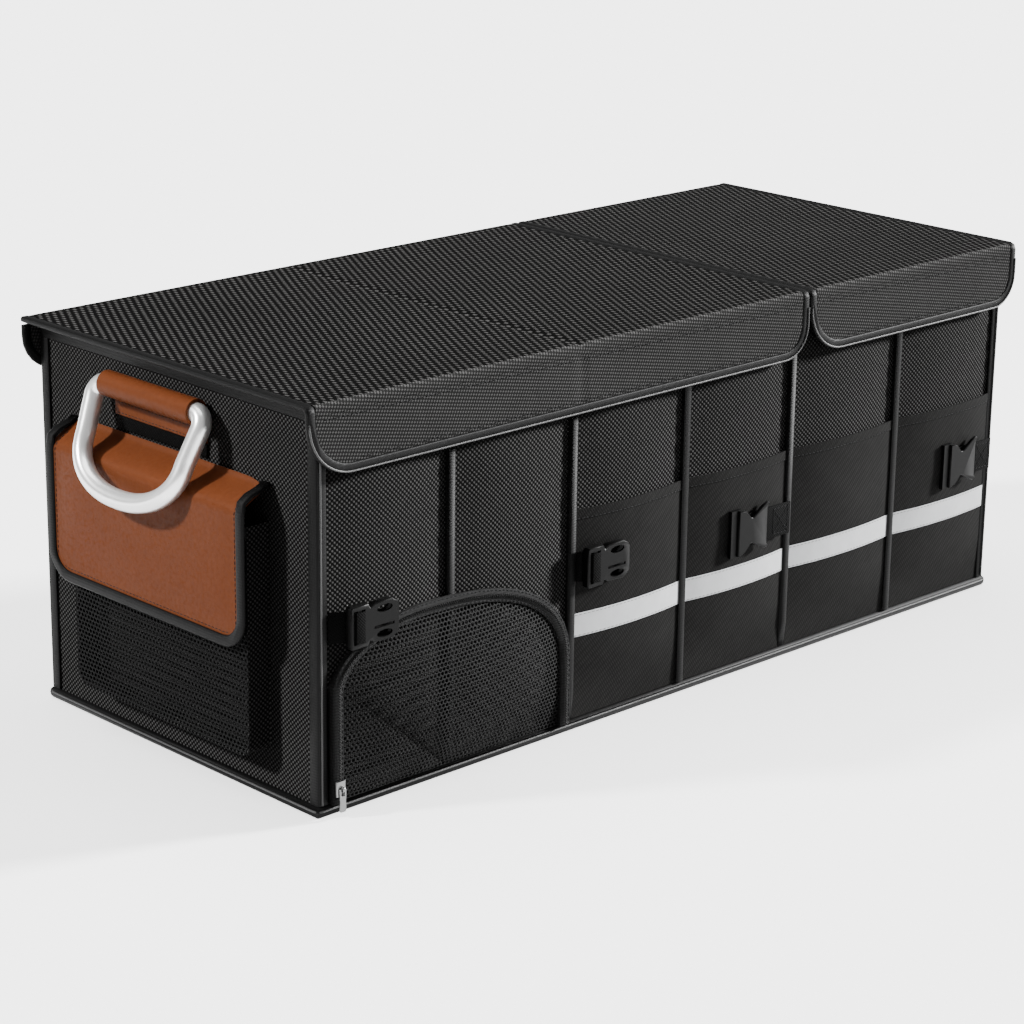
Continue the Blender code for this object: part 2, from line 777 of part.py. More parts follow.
def side_pocket():
    """A mesh pocket that stands off the left end wall on a gusset."""
    y0 = POCKET_SHIFT - POCKET_HALF
    y1 = POCKET_SHIFT + POCKET_HALF
    r = POCKET_CORNER
    low = POCKET_LOW
    high = POCKET_HIGH
    path = flap_outline(y0 + POCKET_SKIN / 2, y1 - POCKET_SKIN / 2, low + POCKET_SKIN / 2, high, r, r)
    points = [Vector((LEFT, y, z)) for y, z in path]
    t = POCKET_SKIN / 2
    profile = [(-t, CLEAR), (t, CLEAR), (t, POCKET_DEPTH - POCKET_SKIN), (-t, POCKET_DEPTH - POCKET_SKIN)]
    sweep("side_pocket_gusset", points, [Vector((-1, 0, 0))], profile, body_cloth(), False, 50)

    face_high = high - HEM_HEIGHT - CLEAR
    cols = [y0 + r * (1 - math.cos(math.radians(a))) for a in (0, 30, 60, 90)]
    cols += [y0 + r + (y1 - y0 - 2 * r) * k / 6 for k in range(1, 6)]
    cols += [y1 - r * (1 - math.cos(math.radians(a))) for a in (90, 60, 30, 0)]
    cols[0] += 0.00001
    cols[-1] -= 0.00001
    rows = [low + (face_high - low) * k / 6 for k in range(7)]

    def bottom(y):
        d = min(y - y0, y1 - y)
        if d >= r:
            return low
        return low + r - math.sqrt(max(0.0, r * r - (r - d) ** 2))

    def swell(y, z):
        a = (y - y0) / (y1 - y0)
        b = (z - low) / (high - low)
        return POCKET_BULGE * 4 * a * (1 - a) * 4 * b * (1 - b)

    outer = []
    inner = []
    for z in rows:
        row = [(y, max(z, bottom(y))) for y in cols]
        outer.append([(LEFT - POCKET_DEPTH - swell(y, h), y, h) for y, h in row])
        inner.append([(LEFT - POCKET_DEPTH + POCKET_SKIN - CLEAR - swell(y, h), y, h) for y, h in row])
    slab("side_pocket_mesh", outer, inner, net_cloth())

    hem_rows = [high - HEM_HEIGHT, high]
    outer = [[(LEFT - POCKET_DEPTH - 0.0006 - swell(y, z), y, z) for y in cols] for z in hem_rows]
    inner = [[(LEFT - POCKET_DEPTH + POCKET_SKIN - CLEAR - swell(y, z), y, z) for y in cols] for z in hem_rows]
    slab("side_pocket_hem", outer, inner, edge_tape())


def leather_line():
    """Side view of the leather flap as (stand off the wall, z): sewn on, over the pocket, hanging."""
    full = POCKET_DEPTH + POCKET_BULGE + 0.0006 + CLEAR + LEATHER_THICK / 2 + 0.0003
    near = CLEAR + LEATHER_THICK / 2 + 0.0002
    top = LEATHER_TOP
    drop = top - LEATHER_SHOULDER
    line = [(near, top), (near, top - drop * 0.10)]
    line += [(near + (full - near) * 0.30, top - drop * 0.30), (near + (full - near) * 0.70, top - drop * 0.48)]
    line += [(near + (full - near) * 0.93, top - drop * 0.72), (full, LEATHER_SHOULDER - 0.004)]
    line += [(full, LEATHER_LOW)]
    return line


class Curtain:
    """Maps (y, run) on the leather flap to a point and a normal, run being the length down its side view."""

    def __init__(self):
        self.line = leather_line()
        self.runs = [0.0]
        for (a, b), (c, d) in zip(self.line, self.line[1:]):
            self.runs.append(self.runs[-1] + math.hypot(c - a, d - b))

    def total(self):
        return self.runs[-1]

    def locate(self, run):
        for i in range(len(self.runs) - 1):
            if run <= self.runs[i + 1] or i == len(self.runs) - 2:
                a = Vector(self.line[i])
                b = Vector(self.line[i + 1])
                t = (run - self.runs[i]) / (self.runs[i + 1] - self.runs[i])
                return a + (b - a) * t, i
        return Vector(self.line[-1]), len(self.runs) - 2

    def run_normal(self, i):
        a = Vector(self.line[i])
        b = Vector(self.line[i + 1])
        d = (b - a).normalized()
        return Vector((-d.y, d.x))

    def normal(self, run):
        _, i = self.locate(run)
        near = [self.run_normal(i)]
        if i > 0 and abs(run - self.runs[i]) < 1e-6:
            near.append(self.run_normal(i - 1))
        if i < len(self.runs) - 2 and abs(run - self.runs[i + 1]) < 1e-6:
            near.append(self.run_normal(i + 1))
        total = sum(near, Vector((0.0, 0.0))).normalized()
        return total / max(0.8, total.dot(near[0]))

    def point(self, y, run, lift):
        p, _ = self.locate(run)
        n = self.normal(run)
        q = p + n * lift
        return Vector((LEFT - q.x, y, q.y))


def leather_flap():
    """The brown flap, bent over the top of the side pocket, and the tape round its edge."""
    shape = Curtain()
    total = shape.total()
    r = LEATHER_RADIUS
    edge = LEATHER_EDGE + CLEAR
    y0 = LEATHER_SHIFT - LEATHER_HALF + edge
    y1 = LEATHER_SHIFT + LEATHER_HALF - edge
    r_in = r - edge
    low = total - edge
    top_in = 0.010

    def limits(y):
        d = min(y - y0, y1 - y)
        if d >= r_in:
            return 0.0, low
        rise = r_in - math.sqrt(max(0.0, r_in * r_in - (r_in - d) ** 2))
        return rise * top_in / r_in, low - rise

    cols = [y0 + r_in * (1 - math.cos(math.radians(a))) for a in (0, 22, 45, 67, 90)]
    cols += [y0 + r_in + (y1 - y0 - 2 * r_in) * k / 4 for k in range(1, 4)]
    cols += [y1 - r_in * (1 - math.cos(math.radians(a))) for a in (90, 67, 45, 22, 0)]
    rows = shape.runs[:-1] + [low - r_in * k for k in (1.0, 0.62, 0.29, 0.08)] + [low]
    half = LEATHER_THICK / 2
    outer = []
    inner = []
    for run in rows:
        spans = [(y, min(max(run, limits(y)[0]), limits(y)[1])) for y in cols]
        outer.append([shape.point(y, s, half) for y, s in spans])
        inner.append([shape.point(y, s, -half) for y, s in spans])
    slab("side_pocket_flap", outer, inner, leather(), 30)

    c = LEATHER_EDGE / 2
    ya = LEATHER_SHIFT - LEATHER_HALF + c
    yb = LEATHER_SHIFT + LEATHER_HALF - c
    rc = r - c
    side_runs = [s for s in shape.runs[:-1]]
    left = [(ya, s) for s in side_runs]
    right = [(yb, s) for s in reversed(side_runs)]
    turn = corner_arc(ya + rc, total - c - rc, -rc, 0, -90)
    turn += corner_arc(yb - rc, total - c - rc, -rc, -90, -180)
    flat_path = left + turn + right
    path = [shape.point(y, s, 0.0) for y, s in flat_path]
    normals = []
    for (_, sa), (_, sb) in zip(flat_path, flat_path[1:]):
        n = shape.run_normal(shape.locate((sa + sb) / 2)[1])
        normals.append(Vector((-n.x, 0.0, n.y)))
    profile = edge_profile(LEATHER_EDGE, LEATHER_EDGE_THICK)
    lift = LEATHER_EDGE_THICK / 2 - LEATHER_THICK / 2 + 0.0001
    profile = [(a, b + lift) for a, b in profile]
    sweep("side_pocket_flap_binding", path, normals, profile, edge_tape(), False, 50)


def arch_points(inset):
    """Outline of the arched pocket as (x, z), from its lower left corner round to its lower right."""
    x0 = LEFT + ARCH_LEFT_IN + inset
    x1 = SEAMS[2] - SEAM_WIDTH / 2 - CLEAR - inset
    width = SEAMS[2] - LEFT
    peak_x = LEFT + width * ARCH_PEAK_SHARE
    peak_z = ARCH_PEAK - inset
    low = BINDING_LOW
    points = [(x0, low), (x0, low + (ARCH_LEFT_SPRING - low) * 0.5)]
    for k in range(13):
        a = math.pi / 2 * (1 - k / 12)
        u = math.sin(a) ** (2 / 1.9)
        v = math.cos(a) ** (2 / 1.9)
        points.append((peak_x - (peak_x - x0) * u, ARCH_LEFT_SPRING + (peak_z - ARCH_LEFT_SPRING) * v))
    for k in range(1, 15):
        a = math.pi / 2 * k / 14
        u = math.sin(a) ** (2 / 2.5)
        v = math.cos(a) ** (2 / 2.5)
        points.append((peak_x + (x1 - peak_x) * u, ARCH_RIGHT_SPRING + (peak_z - ARCH_RIGHT_SPRING) * v))
    points.append((x1, low + (ARCH_RIGHT_SPRING - low) * 0.5))
    points.append((x1, low))
    return points


def wall_stand(x, z):
    """How far the front face stands off its plane, the first seam's tape included."""
    stand = bow(x, z)
    if abs(x - SEAMS[1]) < SEAM_WIDTH / 2 + 0.022:
        stand = max(stand, SEAM_PROUD)
    return stand


def mesh_pocket():
    """Arched zip tape sewn round a bulging net on the left two panels."""
    edge = arch_points(0.0)
    mid = arch_points(TAPE_WIDTH / 2)
    inside = arch_points(TAPE_WIDTH)
    outer = []
    inner = []
    for line, crown in ((edge, 0.0), (mid, 0.0007), (inside, 0.0)):
        outer.append([(x, FRONT - TAPE_FRONT - crown, z) for x, z in line])
        inner.append([(x, FRONT - wall_stand(x, z) - CLEAR, z) for x, z in line])
    slab("mesh_pocket_zip_tape", outer, inner, edge_tape(), 60)

    path = [Vector((x, FRONT - TAPE_FRONT - 0.0007 - CLEAR, z)) for x, z in mid]
    a = TEETH_WIDTH / 2
    profile = [(-a, 0), (a, 0), (a * 0.7, TEETH_PROUD - CLEAR), (-a * 0.7, TEETH_PROUD - CLEAR)]
    sweep("mesh_pocket_zip_teeth", path, [Vector((0, -1, 0))], profile, edge_tape(), False, 60)
    net()


def net():
    rim_line = arch_points(TAPE_WIDTH + CLEAR)
    centre_x = LEFT + (SEAMS[2] - LEFT) * 0.48
    low = BINDING_LOW
    rings = (0.0, 0.16, 0.34, 0.52, 0.70, 0.86, 1.0)
    count = len(rim_line) - 1
    outer = []
    inner = []
    for s in rings:
        row_out = []
        row_in = []
        for k, (x, z) in enumerate(rim_line):
            px = centre_x + (x - centre_x) * s
            pz = low + (z - low) * s
            lift = 0.0032 + (TAPE_FRONT - 0.0032) * ease(low, low + 0.025, pz)
            around = math.sin(math.pi * k / count)
            lift += NET_BULGE * 4 * s * (1 - s) * max(0.0, around) ** 0.6
            row_out.append((px, FRONT - lift, pz))
            row_in.append((px, FRONT - lift + NET_SKIN, pz))
        outer.append(row_out)
        inner.append(row_in)
    slab("mesh_pocket_net", outer, inner, net_cloth(), 60)


def zip_hardware():
    """The slider that straddles the teeth and the pull that hangs on its bridge."""
    x = LEFT + ARCH_LEFT_IN + TAPE_WIDTH / 2
    face = FRONT - TAPE_FRONT - 0.0007
    w = SLIDER_WIDTH / 2
    front = TEETH_PROUD + 0.0014
    slot = TEETH_WIDTH / 2 + 0.0005
    roof = TEETH_PROUD + CLEAR
    outline = [(-w, CLEAR), (-slot, CLEAR), (-slot, roof), (slot, roof), (slot, CLEAR), (w, CLEAR)]
    outline += [(w, front * 0.75), (w * 0.8, front), (-w * 0.8, front), (-w, front * 0.75)]
    low = SLIDER_Z - SLIDER_LENGTH / 2
    high = SLIDER_Z + SLIDER_LENGTH / 2
    slider = prism("zip_slider", outline, lambda u, v, h: (x + u, face - v, h), low, high, zip_metal())
    bar = PULL_THICK / 2
    hole = bar + 0.0005
    leg = 0.0010
    stand = front + hole + 0.00002
    ring = []
    for k in range(8):
        a = math.pi * k / 7
        ring.append((math.cos(a) * (hole + leg), stand + math.sin(a) * (hole + leg)))
    inner_ring = []
    for k in range(8):
        a = math.pi * (1 - k / 7)
        inner_ring.append((math.cos(a) * hole, stand + math.sin(a) * hole))
    foot = front - 0.0004
    arch = [(hole + leg, foot)] + ring + [(-hole - leg, foot), (-hole, foot)] + inner_ring + [(hole, foot)]
    bridge = prism(
        "zip_bridge_form", arch, lambda u, v, h: (x + h, face - v, SLIDER_Z + u), -0.0011, 0.0011, zip_metal()
    )
    boolean(slider, bridge, "UNION")
    rest_origin(slider, (x, face, SLIDER_Z))

    axis_y = face - stand
    half = PULL_WIDTH / 2
    eye = 0.0017
    outline = [(-half * 0.8, bar), (half * 0.8, bar), (half, bar - 0.0012), (half * 0.85, -PULL_LENGTH * 0.55)]
    outline += [(half, -PULL_LENGTH + 0.0015), (half * 0.7, -PULL_LENGTH), (-half * 0.7, -PULL_LENGTH)]
    outline += [(-half, -PULL_LENGTH + 0.0015), (-half * 0.85, -PULL_LENGTH * 0.55), (-half, bar - 0.0012)]
    pull = prism("zip_pull", outline, lambda u, v, h: (x + u, axis_y + h, SLIDER_Z + v), -bar, bar, zip_metal())
    window = box(
        "zip_pull_window",
        (x - eye, axis_y - 0.002, SLIDER_Z - 0.0052),
        (x + eye, axis_y + 0.002, SLIDER_Z - bar),
        zip_metal(),
    )
    boolean(pull, window, "DIFFERENCE")
    rest_origin(pull, (x, axis_y, SLIDER_Z))


def pocket_rows(low, high):
    rows = [z for z in wall_rows() if low + 0.001 < z < high - 0.001]
    return [low] + rows + [high]


def sheet_stand(x, z, first, last):
    """How far a flat pocket's back stands off the wall plane."""
    lift = 0.0
    for a, b in zip(SEAMS[first:last], SEAMS[first + 1 : last + 1]):
        if a <= x <= b:
            u = (x - a) / (b - a)
            lift = SHEET_LIFT * 4 * u * (1 - u) * ease(BINDING_LOW, SHEET_TOP, z)
    return bow(x, z) + CLEAR + lift


def flat_pocket(word, first, last):
    """One sheet over two panels with a folded hem, and the light band sewn across it."""
    margin = SEAM_WIDTH / 2 + CLEAR
    cols = wall_columns(first, last)
    cols[0] = SEAMS[first] + margin
    cols[-1] = SEAMS[last] - margin
    if last == 6:
        cols[-1] = RIGHT - CORNER_LEG - CLEAR
    hem = SHEET_TOP - SHEET_HEM
    rows = pocket_rows(BINDING_LOW, hem) + [hem + 0.0004, SHEET_TOP]
    outer = []
    inner = []
    for z in rows:
        skin = SHEET_SKIN + (0.0004 if z > hem else 0.0)
        stands = [sheet_stand(x, z, first, last) for x in cols]
        outer.append([(x, FRONT - s - skin, z) for x, s in zip(cols, stands)])
        inner.append([(x, FRONT - s, z) for x, s in zip(cols, stands)])
    slab("pocket_sheet_" + word, outer, inner, pocket_cloth(), 25)

    band_rows = [BAND_LOW, BAND_HIGH]
    outer = []
    inner = []
    for z in band_rows:
        stands = [sheet_stand(x, z, first, last) + SHEET_SKIN + CLEAR for x in cols]
        outer.append([(x, FRONT - s - BAND_SKIN, z) for x, s in zip(cols, stands)])
        inner.append([(x, FRONT - s, z) for x, s in zip(cols, stands)])
    slab("reflective_strip_" + word, outer, inner, reflective(), 25)


def female_clasp(name, x, z, stand):
    """Socket half: a two-slot strap frame, then a hollow housing with a window on each side."""
    t = CLASP_THICK

    def place(u, v, w):
        return (x + u, FRONT - stand - w, z + v)

    frame = [(0.0, -0.0150), (0.0015, -0.0165), (0.0170, -0.0165), (0.0190, -0.0125), (0.0230, -0.0150)]
    frame += [(0.0400, -0.0155), (0.0455, -0.0125), (0.0470, -0.0095), (0.0470, 0.0095), (0.0455, 0.0125)]
    frame += [(0.0400, 0.0155), (0.0230, 0.0150), (0.0190, 0.0125), (0.0170, 0.0165), (0.0015, 0.0165)]
    frame += [(0.0, 0.0150)]
    clasp = prism(name, frame, place, 0.0, t, plastic())
    mod = clasp.modifiers.new("edges", "BEVEL")
    mod.width = 0.0007
    mod.segments = 1
    mod.limit_method = "ANGLE"
    mod.angle_limit = math.radians(50)
    for number, (a, b, c, d) in enumerate(
        (
            (SLOT_FIRST, SLOT_FIRST + SLOT_WIDTH, -0.0130, 0.0130),
            (SLOT_SECOND, SLOT_SECOND + SLOT_WIDTH, -0.0130, 0.0130),
            (0.0225, 0.0420, -0.0046, -0.0024),
        )
    ):
        start = (x + a, FRONT - stand - t - 0.001, z + c)
        hole = box("%s_slot_%d" % (name, number), start, (x + b, FRONT, z + d), plastic())
        boolean(clasp, hole, "DIFFERENCE")
    for number, side in enumerate((-1, 1)):
        ring = [(0.0325 + 0.0078 * math.cos(a), side * 0.0098 + 0.0030 * math.sin(a)) for a in around(12)]
        hole = prism("%s_window_%d" % (name, number), ring, place, -0.001, t + 0.001, plastic())
        boolean(clasp, hole, "DIFFERENCE")
    mouth = box(
        name + "_mouth",
        (x + 0.0260, FRONT - stand - t / 2 - 0.0016, z - 0.0118),
        (x + 0.0480, FRONT - stand - t / 2 + 0.0016, z + 0.0118),
        plastic(),
    )
    boolean(clasp, mouth, "DIFFERENCE")
    return clasp


def around(count):
    return [2 * math.pi * k / count for k in range(count)]


def male_clasp(name, x, z, stand):
    """Plug half: a cross bar and a waisted plate with spread ends."""

    def place(u, v, w):
        return (x + u, FRONT - stand - w, z + v)

    upper = [(0.0, 0.0195), (0.0085, 0.0180), (0.0150, 0.0110), (0.0180, 0.0108), (0.0290, 0.0185)]
    upper += [(0.0350, 0.0210), (0.0370, 0.0200), (0.0345, 0.0165)]
    lower = [(0.0345, -0.0150), (0.0365, -0.0175), (0.0330, -0.0190), (0.0270, -0.0170), (0.0180, -0.0115)]
    lower += [(0.0150, -0.0112), (0.0080, -0.0180), (0.0, -0.0205)]
    plate = prism(name, upper + lower, place, 0.0022, 0.0056, plastic())
    mod = plate.modifiers.new("edges", "BEVEL")
    mod.width = 0.0006
    mod.segments = 1
    mod.limit_method = "ANGLE"
    mod.angle_limit = math.radians(50)
    bar = box(
        name + "_bar",
        (x - 0.0075, FRONT - stand - 0.0034, z - 0.0205),
        (x + 0.0040, FRONT - stand, z + 0.0200),
        plastic(),
    )
    boolean(plate, bar, "UNION")
    return plate


def strap(name, points, low, high):
    """A woven strap seen from above as a line of (x, stand) points, as wide as low to high."""
    path = [Vector((x, FRONT - s, (low + high) / 2)) for x, s in points]
    half = (high - low) / 2
    t = STRAP_THICK / 2
    profile = [(-t, -half), (t, -half), (t, half), (-t, half)]
    sweep(name, path, [Vector((0, 0, 1))], profile, webbing(), False, 30)


def clasps():
    """Two socket halves and two plug halves on short straps, not joined to each other."""
    mid = CLASP_THICK / 2
    sets = (("left", SEAMS[0] + 0.0185, SOCKET_Z_LEFT, 0), ("middle", SEAMS[2] + 0.0030 + SEAM_WIDTH / 2, SOCKET_Z_MIDDLE, 2))
    for word, x, z, seam in sets:
        s = CLASP_STAND
        root = STRAP_THICK / 2 + CLEAR
        if seam == 0:
            s = TAPE_FRONT + 0.0007 + TEETH_PROUD + 2 * CLEAR
        female_clasp("buckle_female_" + word, x, z, s)
        start = SEAMS[seam] + (CORNER_LEG if seam == 0 else SEAM_WIDTH / 2) + 0.0006
        root += bow(start + 0.001, z) if seam == 0 else sheet_stand(start + 0.001, z, 2, 4) + SHEET_SKIN
        front = s + CLASP_THICK + STRAP_THICK / 2 + 0.0004
        rear = s - STRAP_THICK / 2 - 0.0004
        first = x + SLOT_FIRST + SLOT_WIDTH / 2
        second = x + SLOT_SECOND + SLOT_WIDTH / 2
        points = [(x + 0.0200, rear), (second, rear), (second, front), (first, front), (first, rear)]
        points += [(x + 0.0005, rear), (start, root + 0.0002)]
        strap("strap_female_" + word, points, z - 0.0120, z + 0.0120)
    plugs = (("middle", SEAMS[4] - PLUG_IN_MIDDLE, PLUG_Z_MIDDLE, 4), ("right", SEAMS[6] - PLUG_IN_RIGHT, PLUG_Z_RIGHT, 6))
    for word, x, z, seam in plugs:
        male_clasp("buckle_male_" + word, x, z, CLASP_STAND)
        end = SEAMS[seam] - (CORNER_LEG if seam == 6 else SEAM_WIDTH / 2) - 0.0006
        rear = CLASP_STAND + 0.0022 - STRAP_THICK / 2 - 0.0004
        points = [(x + 0.0080, rear), (x + 0.0350, rear), (end, rear)]
        strap("strap_male_" + word, points, z - 0.0140, z + 0.0140)


def build():
    clear_scene()
    bowed_wall("front_wall", -1, PANEL_BOW)
    bowed_wall("back_wall", 1, BACK_BOW)
    end_wall("left_end_wall", -1)
    end_wall("right_end_wall", 1)
    base_panel()
    inside_boards()
    piping()
    rim()
    corner_binding("corner_binding_front_left", -1, -1)
    corner_binding("corner_binding_front_right", 1, -1)
    corner_binding("corner_binding_back_left", -1, 1)
    corner_binding("corner_binding_back_right", 1, 1)
    for number in range(1, 6):
        seam_binding(number, number in (3, 5))
    lids()
    handles()
    side_pocket()
    leather_flap()
    mesh_pocket()
    zip_hardware()
    flat_pocket("middle", 2, 4)
    flat_pocket("right", 4, 6)
    clasps()


build()
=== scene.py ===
"""Looks of the lidded trunk organizer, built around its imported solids.

Every length is in metres. The long front faces -Y, +X runs right along it, and the ground is at Z 0.
"""

import json
import math

import bmesh
import bpy
from mathutils import Matrix, Vector, noise

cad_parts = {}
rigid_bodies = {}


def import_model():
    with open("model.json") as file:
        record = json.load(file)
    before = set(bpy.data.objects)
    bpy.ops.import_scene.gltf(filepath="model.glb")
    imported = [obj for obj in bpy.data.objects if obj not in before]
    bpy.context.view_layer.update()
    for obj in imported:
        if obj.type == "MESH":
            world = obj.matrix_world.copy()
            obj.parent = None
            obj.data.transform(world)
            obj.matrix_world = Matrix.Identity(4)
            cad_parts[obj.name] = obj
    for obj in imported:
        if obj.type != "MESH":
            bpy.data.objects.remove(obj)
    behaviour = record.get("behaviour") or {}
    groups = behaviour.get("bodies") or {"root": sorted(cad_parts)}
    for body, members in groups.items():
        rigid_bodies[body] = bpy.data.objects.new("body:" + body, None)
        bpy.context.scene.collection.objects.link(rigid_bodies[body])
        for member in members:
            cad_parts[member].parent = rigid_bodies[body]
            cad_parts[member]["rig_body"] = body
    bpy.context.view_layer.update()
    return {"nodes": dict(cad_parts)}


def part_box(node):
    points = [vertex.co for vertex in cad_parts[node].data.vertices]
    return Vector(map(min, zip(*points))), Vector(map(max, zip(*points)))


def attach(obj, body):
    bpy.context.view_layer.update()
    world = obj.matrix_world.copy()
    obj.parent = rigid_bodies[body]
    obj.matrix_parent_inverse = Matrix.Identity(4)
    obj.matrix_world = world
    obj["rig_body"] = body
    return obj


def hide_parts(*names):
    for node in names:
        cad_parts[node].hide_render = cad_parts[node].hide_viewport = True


bl_info = {
    "name": "Trunk Organizer",
    "version": (1, 0, 0),
    "blender": (4, 5, 0),
    "location": "View3D > Sidebar > Organizer",
    "description": "Dresses the organizer's solids with cloth, leather, netting, metal and stitching",
    "category": "Object",
}

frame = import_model()


def low(node):
    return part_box(node)[0]


def high(node):
    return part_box(node)[1]


# Places read from the solids
LEFT = low("left_end_wall").x
RIGHT = high("right_end_wall").x
WALL = high("left_end_wall").x - LEFT
CLEAR = 0.0003
FRONT = low("base_panel").y - WALL - CLEAR
BACK = high("base_panel").y + WALL + CLEAR
WALL_TOP = high("left_end_wall").z
PIPING_TOP = high("bottom_piping").z
BINDING_LOW = PIPING_TOP + CLEAR
SEAMS = [LEFT]
SEAMS += [(low("seam_binding_%d" % n).x + high("seam_binding_%d" % n).x) / 2 for n in range(1, 6)]
SEAMS += [RIGHT]
SEAM_WIDTH = high("seam_binding_1").x - low("seam_binding_1").x
LID_TOP = high("lid_left_panel").z
BAND_LOW = low("reflective_strip_middle").z
BAND_HIGH = high("reflective_strip_middle").z

# Handles
TUBE_RADIUS = 0.0076
HANDLE_HALF_WIDTH = 0.0655
HANDLE_LENGTH = 0.0805
HANDLE_AXIS_Z = 0.2875
HANDLE_SHIFT = 0.013
HANDLE_LEAN = math.radians(24.0)
ELBOW_RADIUS = 0.0105
SLEEVE_OUTER = 0.0101
SLEEVE_INNER = 0.0080
HANDLE_KNEE = 0.50
HANDLE_WAIST = 0.93
TUBE_SIDES = 28
HANDLE_AXIS_X = RIGHT + CLEAR + SLEEVE_OUTER + 0.0004

# Pockets
POCKET_DEPTH = 0.022
POCKET_SKIN = 0.0014
LEATHER_THICK = 0.0018
LEATHER_TOP = 0.2480
LEATHER_SHOULDER = 0.2310
LEATHER_LOW = 0.122
LEATHER_HALF = 0.1215
LEATHER_SHIFT = 0.0055
LEATHER_RADIUS = 0.026
LEATHER_EDGE = 0.0085
TAPE_FRONT = 0.0075
TAPE_WIDTH = 0.010
NET_BULGE = 0.013
ARCH_PEAK = 0.147
ARCH_LEFT_SPRING = 0.096
ARCH_RIGHT_SPRING = 0.058
SHEET_TOP = high("pocket_sheet_middle").z
SHEET_SKIN = 0.0012
SHEET_HEM = 0.0085
NET_SKIN = 0.0004
STRIP_SKIN = 0.0005

# Lid flaps: radii of the lower corners, left and right, of the cloth and of the cord outside it
FLAP_CORNERS = (0.0342, 0.0202)
WELT_CORNERS = (0.0408, 0.0268)
CREASE_HALF_WIDTH = 0.0022
WELT_INSET = 0.0012
WELT_STAND = 0.0009
WELT_END = 0.014

# Trim
PUCKER_PITCH = 0.017
HINGE_TAPE_SKIN = 0.0004
STITCH_INSET = 0.0011
WELT_RADIUS = 0.0008
THREAD_LIFT = 0.0001
TO_FRONT = Vector((0, -1, 0))
TO_LEFT = Vector((-1, 0, 0))

# Names of the shared cloth patterns
WEAVE = "Woven threads"
TWILL = "Twill ribs"

# Camera, solved from the photograph's corners and seams
CAMERA_PLACE = (-1.693, -1.710, 0.883)
CAMERA_AZIMUTH = math.radians(-44.02)
CAMERA_ELEVATION = math.radians(17.73)
CAMERA_ROLL = math.radians(0.76)
CAMERA_LENS = 103.9
CAMERA_SENSOR = 36.0

# Lights and floor; behind the floor's far edge the camera sees a sky as bright as the lit floor
SUNS = (
    ("key", (3.7, -1.4, 1.3), 8, 14.0),
    ("top", (0.1, 0.5, 3.0), 50, 2.6),
    ("side", (-2.4, 1.3, 1.9), 6, 5.0),
)
SKY_STRENGTH = 0.28
SEEN_SKY_STRENGTH = 4.4
WHITE = (1.0, 1.0, 1.0, 1.0)
FLOOR_SIZE = 160.0
FLOOR_DROP = 0.0002
FLOOR_COLOUR = (0.93, 0.93, 0.93, 1.0)
FLOOR_GLOW = 1.3


def length_property(name, value, description):
    return bpy.props.FloatProperty(name=name, description=description, default=value, unit="LENGTH")


class OrganizerSizes(bpy.types.PropertyGroup):
    """Sizes of the soft detail."""

    panel_bow: length_property("Panel bow", 0.005, "How far each front panel bows out")
    pucker: length_property("Pucker", 0.0006, "Depth of the gathers beside the seams")
    lid_wave: length_property("Lid wave", 0.0016, "How far the lids sag between their edges")
    flap_wave: length_property("Flap wave", 0.0008, "How far the hanging flaps wave")
    stitch_pitch: length_property("Stitch pitch", 0.0042, "Distance between stitches")
    stitch_length: length_property("Stitch length", 0.0028, "Length of one stitch")
    stitch_radius: length_property("Stitch radius", 0.00032, "Radius of the sewing thread")
    tooth_pitch: length_property("Tooth pitch", 0.0021, "Distance between the zip's teeth")


def colour_property(name, value, description):
    return bpy.props.FloatVectorProperty(
        name=name, description=description, subtype="COLOR", size=3, min=0.0, max=1.0, default=value
    )


class OrganizerColours(bpy.types.PropertyGroup):
    """Colours of the finishes."""

    body: colour_property("Body cloth", (0.070, 0.069, 0.068), "Threads of the walls")
    lid: colour_property("Lid cloth", (0.048, 0.047, 0.046), "Threads of the lid's top")
    flap: colour_property("Flap cloth", (0.078, 0.077, 0.076), "Threads of the lid's hanging flaps")
    tape: colour_property("Edge tape", (0.0045, 0.0045, 0.0045), "Binding tape and piping")
    pocket: colour_property("Pocket cloth", (0.017, 0.0167, 0.0163), "Slip pockets")
    net: colour_property("Netting", (0.020, 0.020, 0.020), "Threads of the mesh pockets")
    leather: colour_property("Leather", (0.126, 0.0350, 0.0115), "Pocket flap and handle sleeves")
    metal: colour_property("Handle metal", (0.93, 0.93, 0.92), "Satin handles")
    reflective: colour_property("Reflective tape", (0.74, 0.75, 0.76), "Light strips across the slip pockets")
    plastic: colour_property("Buckle plastic", (0.005, 0.005, 0.005), "Buckles")


# Shader helpers and shared node groups


def new_group(name, inputs, outputs):
    tree = bpy.data.node_groups.new(name, "ShaderNodeTree")
    for label, value in inputs:
        socket = tree.interface.new_socket(label, in_out="INPUT", socket_type="NodeSocketFloat")
        socket.default_value = value
    for label in outputs:
        tree.interface.new_socket(label, in_out="OUTPUT", socket_type="NodeSocketFloat")
    return tree, tree.nodes.new("NodeGroupInput"), tree.nodes.new("NodeGroupOutput")


def feed(item, values):
    """Sets inputs of a node; a value is a socket to link, a number or a colour."""
    for label, value in values.items():
        if isinstance(value, bpy.types.NodeSocket):
            item.id_data.links.new(value, item.inputs[label])
        else:
            item.inputs[label].default_value = value


def maths(operation, *values):
    """One Math node, in the tree that the first socket among the values belongs to."""
    tree = next(value.id_data for value in values if isinstance(value, bpy.types.NodeSocket))
    item = tree.nodes.new("ShaderNodeMath")
    item.operation = operation
    feed(item, dict(enumerate(values)))
    return item.outputs[0]


def times(a, b):
    return maths("MULTIPLY", a, b)


def plus(a, b):
    return maths("ADD", a, b)


def minus(a, b):
    return maths("SUBTRACT", a, b)


